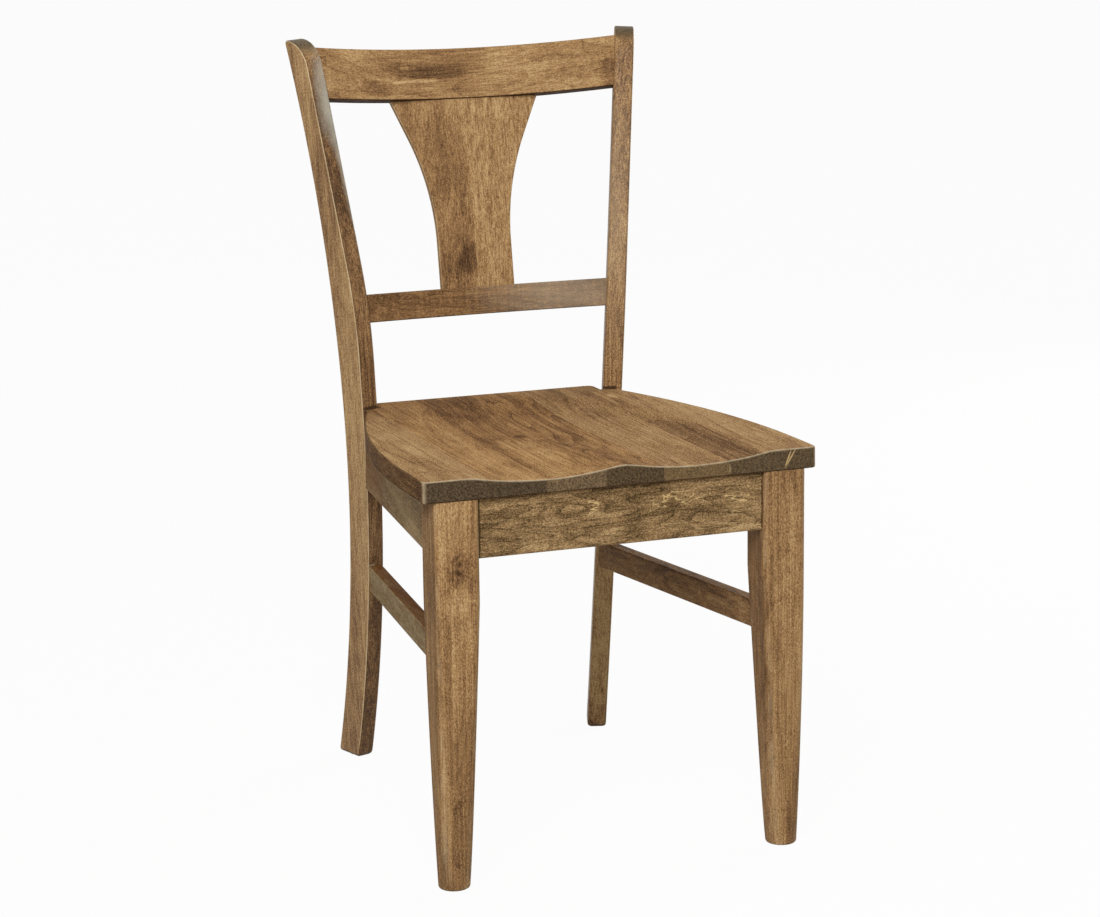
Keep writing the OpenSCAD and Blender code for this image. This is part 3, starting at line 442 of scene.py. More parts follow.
# A point of the right-hand post: inward from its outer face, back from its edge, up its board
def postPoint(inward, back, h):
    return onPost @ Vector((-inward, back, h))


def boardHeight(z, inward=0):
    return (z - underside - inward * math.sin(postLean)) / math.cos(postLean)


# Eases the inner front edge to a wider rounding that fades out near the top
def easeInnerEdge(vert):
    across = vert.co.x + post["thickness"]
    outwards = Vector((0, vert.co.y - topCentreDepth, vert.co.z - topCentre))
    if outwards.z > 0:
        deep = post["topRadius"] - outwards.length
        inwards = -outwards.normalized()
    else:
        deep = vert.co.y - postFront(vert.co.z)
        inwards = Vector((0, 1, 0))
    radius = post["innerRound"]
    if across < radius and -0.1 < deep < post["edgeRound"] + 0.1:
        fade = max(0, min(1, (postRise - post["fadeTop"] - vert.co.z) / post["fadeRun"]))
        vert.co += inwards * fade * (swept(radius, radius - across) - deep)


# Rounds the end of the foot by drawing it in towards the middle of the post, and marks its
# underside for painted shade
def easeFoot(vert, place, wearAndPaintedLight):
    above = vert.co.z - post["footGap"]
    if above < post["footRound"]:
        # the foot's underside darkened: painted shade
        vert[wearAndPaintedLight] = -1 if above < post["footRound"] - 1 else 0
        inset = swept(post["footRound"], post["footRound"] - max(0, above))
        spot = place.inverted() @ vert.co
        halfway = (postFront(spot.z) + postBack(spot.z)) / 2
        middle = Vector((-post["thickness"] / 2, halfway, spot.z))
        drawn = spot - middle
        drawn.x *= 1 - 2 * inset / post["thickness"]
        drawn.y *= 1 - 2 * inset / post["depth"]
        vert.co = place @ (middle + drawn)


def makePost(name, side, material):
    foot = boardHeight(0) - 5
    bm = startBlock((-post["thickness"], 0, foot), (0, 1, postRise))
    crown = [topCentre + post["topRadius"] * math.sin(math.radians(a))
             for a in range(14, 89, post["stepTop"])]
    slices(bm, (0, 0, 1), steps(foot, post["bendStart"], post["stepStraight"])[1:]
           + steps(post["bendStart"], crown[0], post["stepBent"])[1:] + crown[1:])
    for vert in bm.verts:
        rounding = swept(post["topCorner"], max(0, post["topCorner"] - postRise + vert.co.z))
        front, back = postFront(vert.co.z), postBack(vert.co.z) - rounding
        vert.co.y = front + (back - front) * vert.co.y
    for face, wornAndHighlit in ((0, 1), (-post["thickness"], 0)):
        outline = [e for e in sharpEdges(bm) if all(abs(v.co.x - face) < 0.01 for v in e.verts)
                   and max(v.co.z for v in e.verts) > foot + 1]
        roundEdges(bm, outline, post["edgeRound"], wornAndHighlit, wornAndHighlit)
    slices(bm, (1, 0, 0), [across - post["thickness"] for across in (3, 4.5)])
    wearAndPaintedLight = bm.verts.layers.float["wearAndPaintedLight"]
    for vert in bm.verts:
        easeInnerEdge(vert)
        if vert[wearAndPaintedLight] < 0 and vert.co.x > -0.3:     # pale on the outer side, for wear with a painted highlight; dark on the front
            vert[wearAndPaintedLight] = 0.7
    place = onSide(side, onPost)
    bmesh.ops.transform(bm, matrix=place, verts=bm.verts)
    cutOff(bm, (0, 0, post["footGap"]), (0, 0, -1))
    slices(bm, (0, 0, 1), [post["footGap"] + post["footRound"] * s for s in post["footSteps"]])
    for vert in bm.verts:
        easeFoot(vert, place, wearAndPaintedLight)
    finishPiece(name, bm, material)


makePost("left_back_post", sides["left"], stainedMaple(
    "stained maple of the left back post", shift=(0, -410, 60), edges=(0.55, 0.95),
    # outer side painted paler and front painted darker: painted light and shade
    faces=(((-0.94, -0.33, 0), 0.1), ((0.33, -0.94, 0), -0.16)), gloss=(0.1, 0.35, 0.5),
    end=("#4a3d2b", "#705e43"), spots=(
        # the first spot is painted shade on the post just above the seat
        ((-152, 430, 451.5), (11, 30, 2.5), -0.6), ((-151, 222, 2), (16, 14, 8), -0.5)),
    # the first two are painted sheen, a whitish reflection down the upper inner front edge
    touches=(((-179, 477, 812), (19, 50, 72), -7, 0.68, "#bdb8a8"),
             ((-170, 465, 735), (6, 50, 70), -7, 0.45, "#bdb8a8"),
             ((-154, 439, 257.3), (6, 8, 1.5), 0, 0.8, "#c9b89c"))))
makePost("right_back_post", sides["right"], stainedMaple(
    "stained maple of the right back post", shift=(0, 410, 60), gloss=(0.1, 0.35, 0.5),
    end=("#4a3d2b", "#705e43"), spots=(
        # painted shade on the post just above the seat, and painted light on the post below the
        # seat
        ((152, 430, 451.5), (11, 30, 2.5), -0.6), ((165, 440, 200), (80, 120, 260), 0.25)),
    # painted sheen: a greyish pale veil over the post above the seat
    touches=(((158, 460, 680), (40, 80, 220), 0, 0.2, "#b3a48c"),)))
print("back posts made")


# Bent rails between the posts
crest = {"height": 61.5, "thickness": 19, "drop": 10, "setback": 6, "recline": 18.5,
         "radius": 543, "edgeRound": 1.8, "housed": 1}
lowerRail = {"height": 33, "thickness": 20, "share": 0.222, "setback": 5, "recline": 8.5,
             "radius": 442, "edgeRound": 1.8, "housed": 1}
crestTip, lowerTip = (math.radians(rail["recline"]) for rail in (crest, lowerRail))
crestLevel = post["height"] - crest["drop"] - crest["height"] * math.cos(crestTip)
lowerLevel = seat["height"] + lowerRail["share"] * (post["height"] - seat["height"])


# Where a rail's lower front edge meets the right-hand post
def railEnd(level, setback):
    h = boardHeight(level, post["thickness"])
    return postPoint(post["thickness"], postFront(h) + setback, h)


crestEnd = railEnd(crestLevel, crest["setback"])
lowerEnd = railEnd(lowerLevel, lowerRail["setback"])
crestSag = swept(crest["radius"], crestEnd.x)
lowerSag = swept(lowerRail["radius"], lowerEnd.x)


def makeRail(name, rail, end, sag, material):
    reach = rail["radius"] * math.asin(end.x / rail["radius"]) * 1.1
    bm = startBlock((-reach, 0, 0), (reach, rail["thickness"], rail["height"]))
    long = [e for e in bm.edges if abs(e.verts[0].co.x - e.verts[1].co.x) > 1]
    roundEdges(bm, long, rail["edgeRound"])
    slices(bm, (1, 0, 0), steps(-reach, reach, 7)[1:-1])
    for vert in bm.verts:
        angle = vert.co.x / rail["radius"]
        radius = rail["radius"] + vert.co.y
        vert.co.x = radius * math.sin(angle)
        vert.co.y = sag - rail["radius"] + radius * math.cos(angle)
    place = Matrix.Translation((0, end.y, end.z)) @ turned("X", -rail["recline"])
    bmesh.ops.transform(bm, matrix=place, verts=bm.verts)
    for side in sides.values():
        face = onSide(side, onPost)
        outwards = face.to_3x3() @ Vector((1, 0, 0))
        cutOff(bm, face @ Vector((rail["housed"] - post["thickness"], 0, 0)), outwards)
    finishPiece(name, bm, material)


makeRail("crest_rail", crest, crestEnd, crestSag, stainedMaple(
    "stained maple of the crest rail", axis="X", shift=(120, 0, 0), lift=0.1, curl=(4, 38, 0.15),
    # its underside painted darker: painted shade
    contrast=0.72, faces=(((0, -0.32, -0.95), -1),), gloss=(0.03, 0.5, 0.7),
    growth=(260, 40, 10, 0.12), spots=(
        ((-30, 510, 845), (70, 60, 40), -0.14), ((130, 510, 840), (60, 60, 40), 0.04),
        ((-112, 508, 822), (24, 60, 12), -0.22), ((-60, 510, 826), (50, 60, 2.5), 0.35),
        ((180, 510, 826), (14, 60, 30), -0.2), ((-20, 510, 836), (60, 60, 9), -0.12),
        ((-150, 508, 845), (40, 60, 30), 0.03), ((60, 510, 840), (70, 60, 24), 0.1))))
makeRail("lower_back_rail", lowerRail, lowerEnd, lowerSag, stainedMaple(
    "stained maple of the lower back rail", axis="X", shift=(0, 300, 0), curl=(4, 38, 0.3),
    # its underside painted darker: painted shade
    lift=-0.05, contrast=0.7, faces=(((0, -0.15, -0.99), -0.8),), gloss=(0.03, 0.5, 0.7),
    spots=(((-110, 460, 570), (70, 60, 40), -0.08),),
    # painted sheen: a greyish veil over the right end
    touches=(((110, 460, 568), (120, 80, 40), 0, 0.42, "#a89c8a"),)))
print("rails made")


# Splat: two thin boards side by side, let into the rails
splat = {
    "thickness": 9, "width": 92.5, "straightShare": 0.242, "flareShare": 1.378, "flareAngle": 23.7,
    "lowerSetback": 7.5, "upperSetback": 2.5, "groove": 10, "edgeRound": 1.8,
}
splatFoot = Vector((
    0,
    lowerEnd.y + lowerRail["height"] * math.sin(lowerTip)
    + (lowerSag + splat["lowerSetback"]) * math.cos(lowerTip),
    lowerLevel + lowerRail["height"] * math.cos(lowerTip)
    - (lowerSag + splat["lowerSetback"]) * math.sin(lowerTip)))
splatHead = Vector((
    0,
    crestEnd.y + (crestSag + splat["upperSetback"]) * math.cos(crestTip),
    crestLevel - (crestSag + splat["upperSetback"]) * math.sin(crestTip)))
splatRise = splatHead - splatFoot
onSplat = (Matrix.Translation(splatFoot)
           @ turned("X", -math.degrees(math.atan2(splatRise.y, splatRise.z))))
flare = math.radians(splat["flareAngle"])
flareStart = splat["straightShare"] * splatRise.length
flareRadius = splat["flareShare"] * splatRise.length
flareTop = flareStart + flareRadius * math.sin(flare)
flareHalf = splat["width"] / 2 + flareRadius * (1 - math.cos(flare))


def splatHalf(v):
    if v < flareStart:
        return splat["width"] / 2
    if v < flareTop:
        return splat["width"] / 2 + swept(flareRadius, v - flareStart)
    return flareHalf + (v - flareTop) * math.tan(flare)


def makeSplat(name, side, material):
    ear = splatHalf(splatRise.length)
    top = splatRise.length + swept(crest["radius"], ear) * math.sin(crestTip) + splat["groove"]
    bm = startBlock((0, 0, -splat["groove"]), (1, splat["thickness"], top))
    slices(bm, (0, 0, 1), steps(-splat["groove"], top, 6)[1:-1])
    for vert in bm.verts:
        vert.co.x *= splatHalf(vert.co.z)
    outer = [e for e in sharpEdges(bm) if all(v.co.x > 1 for v in e.verts)
             and abs(e.verts[0].co.z - e.verts[1].co.z) > 1]
    roundEdges(bm, outer, splat["edgeRound"])
    finishPiece(name, bm, material, onSide(side, onSplat))


makeSplat("splat_left_board", sides["left"], stainedMaple(
    "stained maple of the splat's left board", shift=(50, 0, 500), lift=0.08,
    # its outer side painted paler: painted light
    contrast=0.8, edges=(0.5, 1), faces=(((-1, 0, 0), 0.1),), spots=(
        ((-6, 484, 609), (17, 60, 24), -0.22), ((-24, 484, 604), (34, 60, 34), -0.12),
        ((-38, 500, 735), (13, 60, 60), -0.1), ((-10, 500, 712), (14, 60, 60), -0.07))))
makeSplat("splat_right_board", sides["right"], stainedMaple(
    "stained maple of the splat's right board", shift=(600, 0, 0), lift=0.12, layers=(
        (320, 40, 2, 0.35), (500, 4, 2, 0.5), (400, 1.6, 1, 0.6), (1.8, 1.1, 1, 0.8))))
print("splat made")


# Front legs: square with rounded corners at the top, tapering on their inner sides to a round foot
leg = {
    "spread": 428.5, "width": 50.5, "setback": 0.5, "cornerRadius": 7, "taperStart": 320,
    "footDiameter": 34.5, "footInset": 20, "footRound": 2, "footGap": 0.8,
    "taperPower": 0.82, "cornerPower": 1.64, "insetPower": 2.2, "cornerSteps": 8,
}
legOuter = leg["spread"] / 2
legInner = legOuter - leg["width"]
legBack = leg["setback"] + leg["width"]


# Width, corner radius and inset from the outer faces at a height
def legSection(z):
    rise = max(0, min(1, z / leg["taperStart"]))
    width = leg["footDiameter"] + (leg["width"] - leg["footDiameter"]) * rise ** leg["taperPower"]
    corner = (leg["cornerRadius"]
              + (leg["footDiameter"] / 2 - leg["cornerRadius"]) * (1 - rise) ** leg["cornerPower"])
    inset = (leg["footInset"] - leg["footDiameter"] / 2) * (1 - rise) ** leg["insetPower"]
    under = min(leg["footRound"], leg["footGap"] + leg["footRound"] - z)
    if under > 0:
        inset += swept(leg["footRound"], under)
        width -= 2 * swept(leg["footRound"], under)
    return width, min(corner, width / 2), inset


def makeLeg(name, side, material):
    bm = bmesh.new()
    wearAndPaintedLight = bm.verts.layers.float.new("wearAndPaintedLight")
    facets = leg["cornerSteps"] + 1
    bmesh.ops.create_cone(bm, cap_ends=True, segments=4 * facets, radius1=1, radius2=1,
                          depth=underside - leg["footGap"])
    bmesh.ops.translate(bm, vec=(0, 0, (underside + leg["footGap"]) / 2), verts=bm.verts)
    rim = [leg["footGap"] + leg["footRound"] * (1 - math.cos(math.radians(a)))
           for a in (25, 45, 65, 90)]
    slices(bm, (0, 0, 1), rim + steps(rim[-1], leg["taperStart"], 12)[1:]
           + steps(leg["taperStart"], underside, 20)[1:-1])
    for vert in bm.verts:
        width, radius, inset = legSection(vert.co.z)
        turn = math.degrees(math.atan2(vert.co.y, vert.co.x)) % 360
        corner, step = divmod(round(turn / 90 * facets) % (4 * facets), facets)
        angle = math.radians(90 * (corner + step / leg["cornerSteps"]))
        near, far = inset + radius, inset + width - radius
        vert.co.x = legOuter - (near if corner in (0, 3) else far) + radius * math.cos(angle)
        vert.co.y = leg["setback"] + (far if corner in (0, 1) else near) + radius * math.sin(angle)
        if vert.co.z > underside - 1:
            vert.co.z = undersideAt(vert.co.y)
        # the rounded corners pale, for wear with a painted highlight
        vert[wearAndPaintedLight] = 0.7 * math.sin(math.radians(180 * step / leg["cornerSteps"])) ** 4
        if vert.co.z < rim[1] + 0.01:
            vert[wearAndPaintedLight] = -1                      # painted shade under the foot
    finishPiece(name, bm, material, onSide(side))


makeLeg("left_front_leg", sides["left"], stainedMaple(
    "stained maple of the left front leg", shift=(0, -410, 200), lift=0.04,
    # its left side painted darker: painted shade under the seat
    contrast=0.8, gloss=(0.02, 0.42, 0.62), faces=(((-1, 0, 0), -0.11),),
    knots=(((-187, 0, 366), (11, 30, 13)),), spots=(
        ((-190, 0, 350), (13, 30, 9), -0.16), ((-190, 0, 400), (40, 60, 60), 0.1),
        ((-188, 0, 322), (20, 60, 18), 0.12), ((-190, 0, 260), (30, 60, 70), 0.06),
        ((-196, 0, 130), (8, 40, 150), -0.08))))
makeLeg("right_front_leg", sides["right"], stainedMaple(
    "stained maple of the right front leg", shift=(0, 590, 200), lift=0.02,
    # its left side painted darker: painted shade under the seat
    contrast=0.8, faces=(((-1, 0, 0), -0.05),)))
print("front legs made")


# Aprons under the seat, and stretchers between front legs and posts
apron = {"height": 65.5, "thickness": 20, "setback": 5, "sideInset": 6, "rearSetback": 6,
         "edgeRound": 1.5, "housed": 3}
stretcher = {"top": 271.5, "height": 32, "thickness": 17, "inset": 11.5, "postInset": 1,
             "edgeRound": 2.4}
stretcherLook = {
    "left": {"lift": 0.03, "contrast": 0.8, "gloss": (0.02, 0.5, 0.7),
             # its top painted darker: painted shade under the seat
             "faces": (((0, 0, 1), -0.3),),
             "tones": ("#683f1e", "#80603c", "#9a8764", "#bfa986")},
    "right": {"lift": -0.02},
}
frameSlope = 2.3                     # degrees, of both, down towards the back
slopeRun = math.tan(math.radians(frameSlope))
apronFoot = underside - apron["height"]


# The outer front corner of the right-hand post at a level above the floor
def postCorner(z):
    h = boardHeight(z)
    return postPoint(0, postFront(h), h)


def onFrame(level, y):
    return level - (y - legBack) * slopeRun


# A bar that runs back between two points of the right-hand side, thickening inwards
def makeSideBar(name, side, material, front, rear, reach, thickness, bottom, top, radius):
    run = Vector((rear.x - front.x, rear.y - front.y))
    bm = startBlock((-thickness, -reach[0], 0), (0, run.length + reach[1], 1))
    bmesh.ops.transform(bm, verts=bm.verts, matrix=Matrix.Translation((front.x, front.y, 0))
                        @ turned("Z", math.degrees(math.atan2(-run.x, run.y))))
    for vert in bm.verts:
        vert.co.z = (top if vert.co.z > 0.5 else bottom)(vert.co.y)
    long = [e for e in bm.edges if abs(e.verts[0].co.y - e.verts[1].co.y) > 100]
    roundEdges(bm, long, radius)
    finishPiece(name, bm, material, onSide(side))


def makeCrossApron(name, material, half, front, bottom):
    bm = startBlock((-half, front, 0), (half, front + apron["thickness"], 1))
    for vert in bm.verts:
        vert.co.z = undersideAt(vert.co.y) if vert.co.z > 0.5 else bottom(vert.co.y)
    long = [e for e in bm.edges if abs(e.verts[0].co.x - e.verts[1].co.x) > 100]
    roundEdges(bm, long, apron["edgeRound"])
    finishPiece(name, bm, material)


apronRear = postCorner(undersideAt(post["edgeY"]) - apron["height"] / 2)
stretcherMiddle = onFrame(stretcher["top"] - stretcher["height"] / 2, post["edgeY"])
stretcherRear = postCorner(stretcherMiddle) - Vector((stretcher["postInset"], 0, 0))
stretcherDrop = stretcher["height"] / math.cos(math.radians(frameSlope))
rearApronFront = apronRear.y + post["thickness"] * math.sin(postSplay) + apron["rearSetback"]

for word, side in sides.items():
    makeSideBar(f"{word}_side_apron", side, stainedMaple(
        f"stained maple of the {word} side apron", axis="Y", shift=(0, 200 * side, 900),
        lift=0.14, gloss=(0.02, 0.5, 0.7), tones=("#433524", "#6b5539", "#8f7450", "#b59a70"),
        touches=(((170 * side, 385, 395), (60, 120, 80), 0, 0.5, "#74492c"),
                 ((180 * side, 283, 395), (9, 6, 2), 0, 0.8, "#b3a680"),
                 ((178 * side, 297, 373), (9, 6, 2), 0, 0.8, "#b3a680"))),
        Vector((legOuter - apron["sideInset"], legBack, 0)), apronRear, (apron["housed"], 6),
        apron["thickness"], lambda y: onFrame(apronFoot, y), undersideAt, apron["edgeRound"])
    makeSideBar(f"{word}_side_stretcher", side, stainedMaple(
        f"stained maple of the {word} side stretcher", axis="Y", shift=(300, 0, 150 * side),
        **stretcherLook[word]),
        Vector((legOuter - stretcher["inset"], legBack - leg["width"] / 2, 0)), stretcherRear,
        (0, 6), stretcher["thickness"], lambda y: onFrame(stretcher["top"] - stretcherDrop, y),
        lambda y: onFrame(stretcher["top"], y), stretcher["edgeRound"])
makeCrossApron("front_apron", stainedMaple(
    "stained maple of the front apron", axis="X", shift=(0, 0, 330), lift=-0.02,
    tones=("#43351f", "#745b3d", "#9a7c55", "#c3a679"),
    layers=((160, 40, 3, 0.6), (60, 10, 5, 0.5), (40, 2, 3, 0.35), (30, 22, 3, 0.4),
            (1.8, 1.1, 1, 1.1)),
    growth=(150, 26, 9, 0.22), fleck=(14, 1.6, 0.7), relief=0.6, tracks=(
        ((62, 5, 413), (34, 30, 9)), ((134, 5, 410), (16, 30, 16)), ((-38, 5, 413), (12, 30, 10))),
    spots=(((-164, 5, 400), (2, 30, 70), -0.5), ((164, 5, 400), (2, 30, 70), -0.5),
           ((20, 5, 392), (120, 30, 5), -0.1),
           ((-22, 5, 392), (36, 30, 24), 0.13))),
    legInner + apron["housed"], leg["setback"] + apron["setback"], lambda y: apronFoot)
makeCrossApron("rear_apron", stainedMaple(
    "stained maple of the rear apron", axis="X", shift=(0, 700, 0)),
    post["edgeX"] - 18, rearApronFront, lambda y: onFrame(apronFoot, y))
print("aprons and stretchers made")


def seatHalf(y):
    run = y - seat["sideStraight"]
    return seat["width"] / 2 - (swept(seat["sideRadius"], run) if run > 0 else 0)


def arc(x, y, radius, start, end, count):
    angles = [math.radians(start + (end - start) * i / count) for i in range(count + 1)]
    return [(x + radius * math.cos(a), y + radius * math.sin(a)) for a in angles]


# Right half of the seat's outline, from its front edge round to the end of its tongue
def seatHalfOutline():
    half = seat["width"] / 2
    notch = [postPoint(inward, -seat["notchGap"], seat["thickness"] / 2)
             for inward in (0, post["thickness"])]
    rearHalf = notch[0].x - seat["postOverlap"]
    tongue = notch[1].x - seat["tongueGap"]
    corner = seat["tongueCorner"]
    sweep = math.degrees(math.acos(1 - (half - rearHalf) / seat["sideRadius"]))
    return (arc(half - seat["cornerRadius"], seat["cornerRadius"], seat["cornerRadius"], -90, 0, 6)
            + arc(half - seat["sideRadius"], seat["sideStraight"], seat["sideRadius"], 0, sweep, 16)
            + [(x, notch[0].y + (notch[0].x - x) * math.tan(postSplay)) for x in (rearHalf, tongue)]
            + arc(tongue - corner, seat["depth"] - corner, corner, 0, 90, 6))


# Depth of the hollow: a wide bowl, open at the front, less a ridge between the thighs
def scoop(x, y):
    half = seatHalf(y) - seat["scoopRim"]
    across = math.hypot(x, 4) - 4
    ridge = (max(0, 1 - across / seat["thighOffset"]) ** 2
             * max(0, 1 - max(0, y) / seat["ridgeLength"]))
    rearStart = seat["scoopRear"] / 2
    rear = (max(0, y - rearStart) / (seat["scoopRear"] - rearStart)) ** 3
    depth = seat["scoopDepth"] * (1 - (abs(x) / half) ** 4.5 - rear - ridge)
    return (depth + math.hypot(depth, 1.2)) / 2      # fades out softly at the rim


def makeSeat(boards):
    bm = bmesh.new()
    bm.verts.layers.float.new("wearAndPaintedLight")
    half = seatHalfOutline()
    corners = [bm.verts.new((x, y, 0)) for x, y in half + [(-x, y) for x, y in reversed(half)]]
    raised = bmesh.ops.extrude_face_region(bm, geom=[bm.faces.new(corners)])["geom"]
    bmesh.ops.translate(bm, vec=(0, 0, seat["thickness"]),
                        verts=[g for g in raised if isinstance(g, bmesh.types.BMVert)])
    bmesh.ops.recalc_face_normals(bm, faces=bm.faces)
    middle = seat["thickness"] / 2
    for radius, above in ((seat["topRound"], True), (seat["bottomRound"], False)):
        rim = [e for e in sharpEdges(bm) if all((v.co.z > middle) == above for v in e.verts)]
        roundEdges(bm, rim, radius, wornAndHighlit=1 if above else -1, pooledStainAndShade=-0.4 if above else 1)
    wearAndPaintedLight = bm.verts.layers.float["wearAndPaintedLight"]
    # Along the sides the top rim is darkened and the bottom arris gets a painted highlight; in
    # front the top rim is rubbed pale with a painted highlight and the bottom rim gets painted
    # shade
    for vert in bm.verts:
        inFromCorner = (seat["width"] / 2 - abs(vert.co.x), vert.co.y)
        if vert.co.y > seat["cornerRadius"]:        # dark above and pale below, except in front
            vert[wearAndPaintedLight] *= -0.8
        # a painted highlight down each front corner
        elif all(0.5 < d < 4 for d in inFromCorner):
            vert[wearAndPaintedLight] = min(inFromCorner) / 3
    slices(bm, (1, 0, 0), steps(-seat["width"] / 2, seat["width"] / 2, seat["stepX"])[1:-1])
    slices(bm, (0, 1, 0), steps(0, seat["depth"], seat["stepY"])[1:-1])
    for vert in bm.verts:
        if vert.co.z > middle:
            vert.co.z -= scoop(vert.co.x, vert.co.y)
    bounds = (-seat["width"], *seat["joints"], seat["width"])
    for number, (slot, changes) in enumerate(boards, 1):
        board = bm.copy()
        cutOff(board, (bounds[number - 1], 0, 0), (-1, 0, 0))
        cutOff(board, (bounds[number], 0, 0), (1, 0, 0))
        material = stainedMaple(
            f"stained maple of seat board {number}", axis="Y", **{**seatLook, **changes})
        finishPiece(f"seat_board_{number}", board, material, onSeat)
    bm.free()


seatLook = {
    "gloss": (0.02, 0.6, 0.8), "edges": (0.6, 1), "wornAndHighlit": "#bba98c", "growth": (600, 60, 9, 0.12),
    "layers": ((320, 55, 2, 0.4), (260, 7, 2, 0.2), (160, 1.6, 2, 0.7), (40, 26, 2, 0.3),
               (1.8, 1.1, 1, 1.35)),
}
makeSeat([
    ("light_maple", {
        "shift": (0, 0, 0), "lift": 0.04, "end": ("#362c20", "#62513d"),
        # its left side painted darker: painted shade
        "faces": (((-1, 0, 0), -0.28),),
        "spots": (((-196, 90, 450), (20, 60, 30), -0.1), ((-172, 220, 450), (30, 160, 30), 0.08),
                  # the last spot is painted shade in front of the left post
                  ((-158, 405, 447), (24, 40, 12), -0.1))}),
    ("stained_maple", {
        "shift": (300, 100, 0), "lift": 0.1, "end": ("#362c20", "#62513d"),
        "tones": ("#4a3320", "#785637", "#a2794c", "#c8a370"),
        "spots": (((-120, 430, 447), (50, 90, 30), -0.08),)}),
    ("light_maple", {
        "shift": (100, 200, 0), "end": ("#4a3c2d", "#816a4e"),
        "tones": ("#4a3320", "#785637", "#a2794c", "#c8a370"),
        "spots": (((-50, 420, 445), (50, 100, 30), -0.16), ((-52, 90, 448), (26, 150, 30), 0.19),
                  ((-36, 236, 448), (8, 12, 30), -0.25))}),
    ("stained_maple", {
        "shift": (500, 300, 0), "growth": (420, 40, 10, 0.24), "end": ("#382d22", "#64523a"),
        "tones": ("#4a3320", "#785637", "#a2794c", "#c8a370"),
        "spots": (((30, 320, 447), (26, 130, 30), -0.07), ((0, 400, 447), (20, 40, 30), 0.06))}),
    ("stained_maple", {
        "shift": (700, 400, 0), "lift": 0.1, "end": ("#53432f", "#7f6847"),
        "spots": (((84, 390, 447), (60, 110, 30), -0.09), ((104, 200, 447), (20, 90, 30), 0.05))}),
    ("dark_maple", {
        "shift": (200, 500, 0), "lift": 0.06, "end": ("#413528", "#6c5940"),
        # the second spot is a painted highlight on the rim in front of the right post
        "spots": (((136, 90, 450), (34, 230, 30), -0.16), ((136, 384, 447), (5, 14, 30), 0.3)),
        "touches": (((122.5, 0, 442), (2.4, 3, 6), -8, 0.5, "#b39a6c"),)}),
    ("light_maple", {
        "shift": (400, 600, 0), "lift": 0.12, "end": ("#413528", "#6c5940"),
        "touches": (((192, 0, 447), (1.1, 3, 12), 22, 0.8, "#d4b47e"),
                    ((195.5, 0, 448), (1.1, 3, 13), 32, 0.8, "#d4b47e"))}),
])
print("seat made")


# Finishes of the pieces that keep the CAD model's shape. The scales are per metre.
cadFinishes = {
    # Poplar of the corner blocks and dowels, sawn and left bare: pale, with faint streaks
    "bare poplar, sawn": {
        "pieces": ("block", "dowels"), "scale": (25, 400, 400), "detail": 4,
        "stops": ((0.3, "#a98a5c"), (0.7, "#cdb388")), "shader": {"Roughness": 0.75}},
    # Zinc-plated steel of the screws: cold grey, with a faint cloudy sheen
    "zinc-plated steel, rolled": {
        "pieces": ("screws",), "scale": (600, 600, 600), "detail": 2,
        "stops": ((0.3, "#8e8e8c"), (0.7, "#b4b4b0")),
        "shader": {"Metallic": 1, "Roughness": 0.35}},
    # Brown nylon of the glides: an even satin surface, scuffed by the floor
    "brown nylon, moulded": {
        "pieces": ("glides",), "scale": (300, 300, 300), "detail": 3,
        "stops": ((0.35, "#453525"), (0.75, "#5b4634")), "shader": {"Roughness": 0.5, "IOR": 1.53}},
}
for name, finish in cadFinishes.items():
    material = bpy.data.materials.new(name)
    material.use_nodes = True
    tree = material.node_tree
    tree.nodes.clear()
    place = addNode(tree, "TexCoord", {})
    drawn = addNode(tree, "Mapping", {"Vector": place.outputs["Object"], "Scale": finish["scale"]})
    marks = addNode(tree, "TexNoise", {"Vector": drawn, "Scale": 1, "Detail": finish["detail"]})
    tones = addNode(tree, "ValToRGB", {"Fac": marks}, stops=finish["stops"])
    shader = addNode(tree, "BsdfPrincipled", {"Base Color": tones, **finish["shader"]})
    addNode(tree, "OutputMaterial", {"Surface": shader})
    for piece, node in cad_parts.items():
        if piece.split("_")[-1] in finish["pieces"]:
            node.data.materials.clear()
            node.data.materials.append(material)
print("hidden pieces finished")


# Room: a white floor out to the horizon, and soft light from above and the left
room = {
    "floor": "#cfcecb",
    "floorReach": 40,              # metres
    "glowShare": 0.96,             # how much of the seen floor is plain white
    "worldStrength": 0.25,
    # place and aim in metres, width, power in watts
    "lamps": {
        "window": ((-1.3, -2.6, 2.7), (0, 0, 0.5), 1.8, 118),
        "fill": ((2.7, 1.1, 1.2), (0, 0, 0.6), 2.0, 60),
    },
}


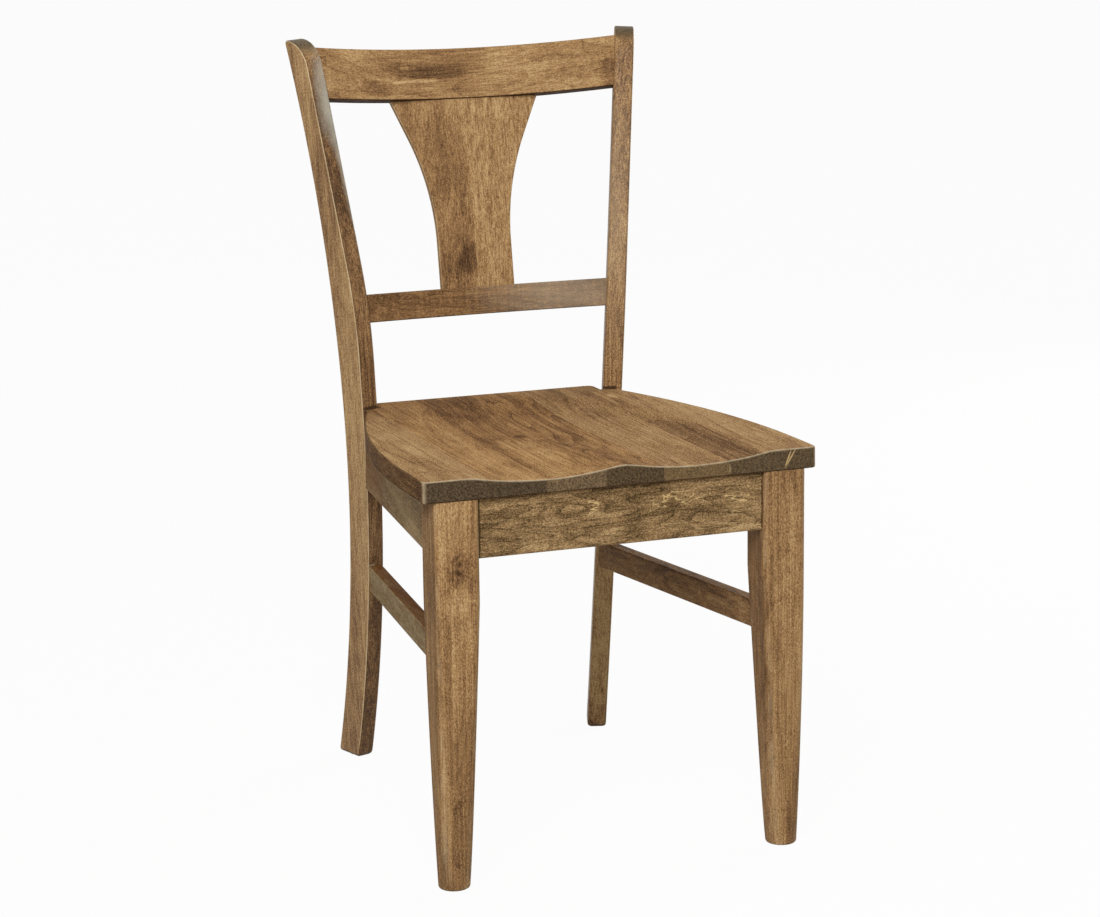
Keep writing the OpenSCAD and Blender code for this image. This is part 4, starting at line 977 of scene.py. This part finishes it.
# 1 for rays that show the background itself, straight on or in gloss, and 0 for its light
def plainlySeen(tree):
    ray = addNode(tree, "LightPath", {})
    seen = 0
    for kind in ("Is Camera Ray", "Is Glossy Ray", "Is Transmission Ray"):
        seen = addNode(tree, "Math", {0: seen, 1: ray.outputs[kind]}, operation="MAXIMUM")
    return seen


bm = bmesh.new()
bmesh.ops.create_grid(bm, x_segments=1, y_segments=1, size=room["floorReach"])
mesh = bpy.data.meshes.new("floor")
bm.to_mesh(mesh)
bm.free()
floor = bpy.data.objects.new("floor", mesh)
bpy.context.scene.collection.objects.link(floor)

# Emulsion paint, rolled: dead matt, and seen nearly white, with the chair's shadow just left on it
paint = bpy.data.materials.new("white matt paint, rolled")
paint.use_nodes = True
tree = paint.node_tree
tree.nodes.clear()
matt = addNode(tree, "BsdfDiffuse", {"Color": linear(room["floor"])})
glow = addNode(tree, "Emission", {"Color": linear("#ffffff"), "Strength": 1})
seen = addNode(tree, "Math", {0: plainlySeen(tree), 1: room["glowShare"]}, operation="MULTIPLY")
both = addNode(tree, "MixShader", {0: seen, 1: matt, 2: glow})
addNode(tree, "OutputMaterial", {"Surface": both})
floor.data.materials.append(paint)

world = bpy.data.worlds.new("studio")
world.use_nodes = True
tree = world.node_tree
tree.nodes.clear()
plain = addNode(tree, "Background", {"Color": linear("#ffffff"), "Strength": 1})
soft = addNode(tree, "Background", {
    "Color": linear("#ffffff"), "Strength": room["worldStrength"]})
both = addNode(tree, "MixShader", {0: plainlySeen(tree), 1: soft, 2: plain})
addNode(tree, "OutputWorld", {"Surface": both})
bpy.context.scene.world = world

for name, (position, aim, size, power) in room["lamps"].items():
    lamp = bpy.data.lights.new(name, "AREA")
    lamp.size = size
    lamp.energy = power
    holder = bpy.data.objects.new(name, lamp)
    towards = Vector(aim) - Vector(position)
    facing = towards.to_track_quat("-Z", "Y").to_matrix().to_4x4()
    holder.matrix_world = Matrix.Translation(position) @ facing
    bpy.context.scene.collection.objects.link(holder)
bpy.context.scene.view_settings.view_transform = "Standard"
print("room lit")
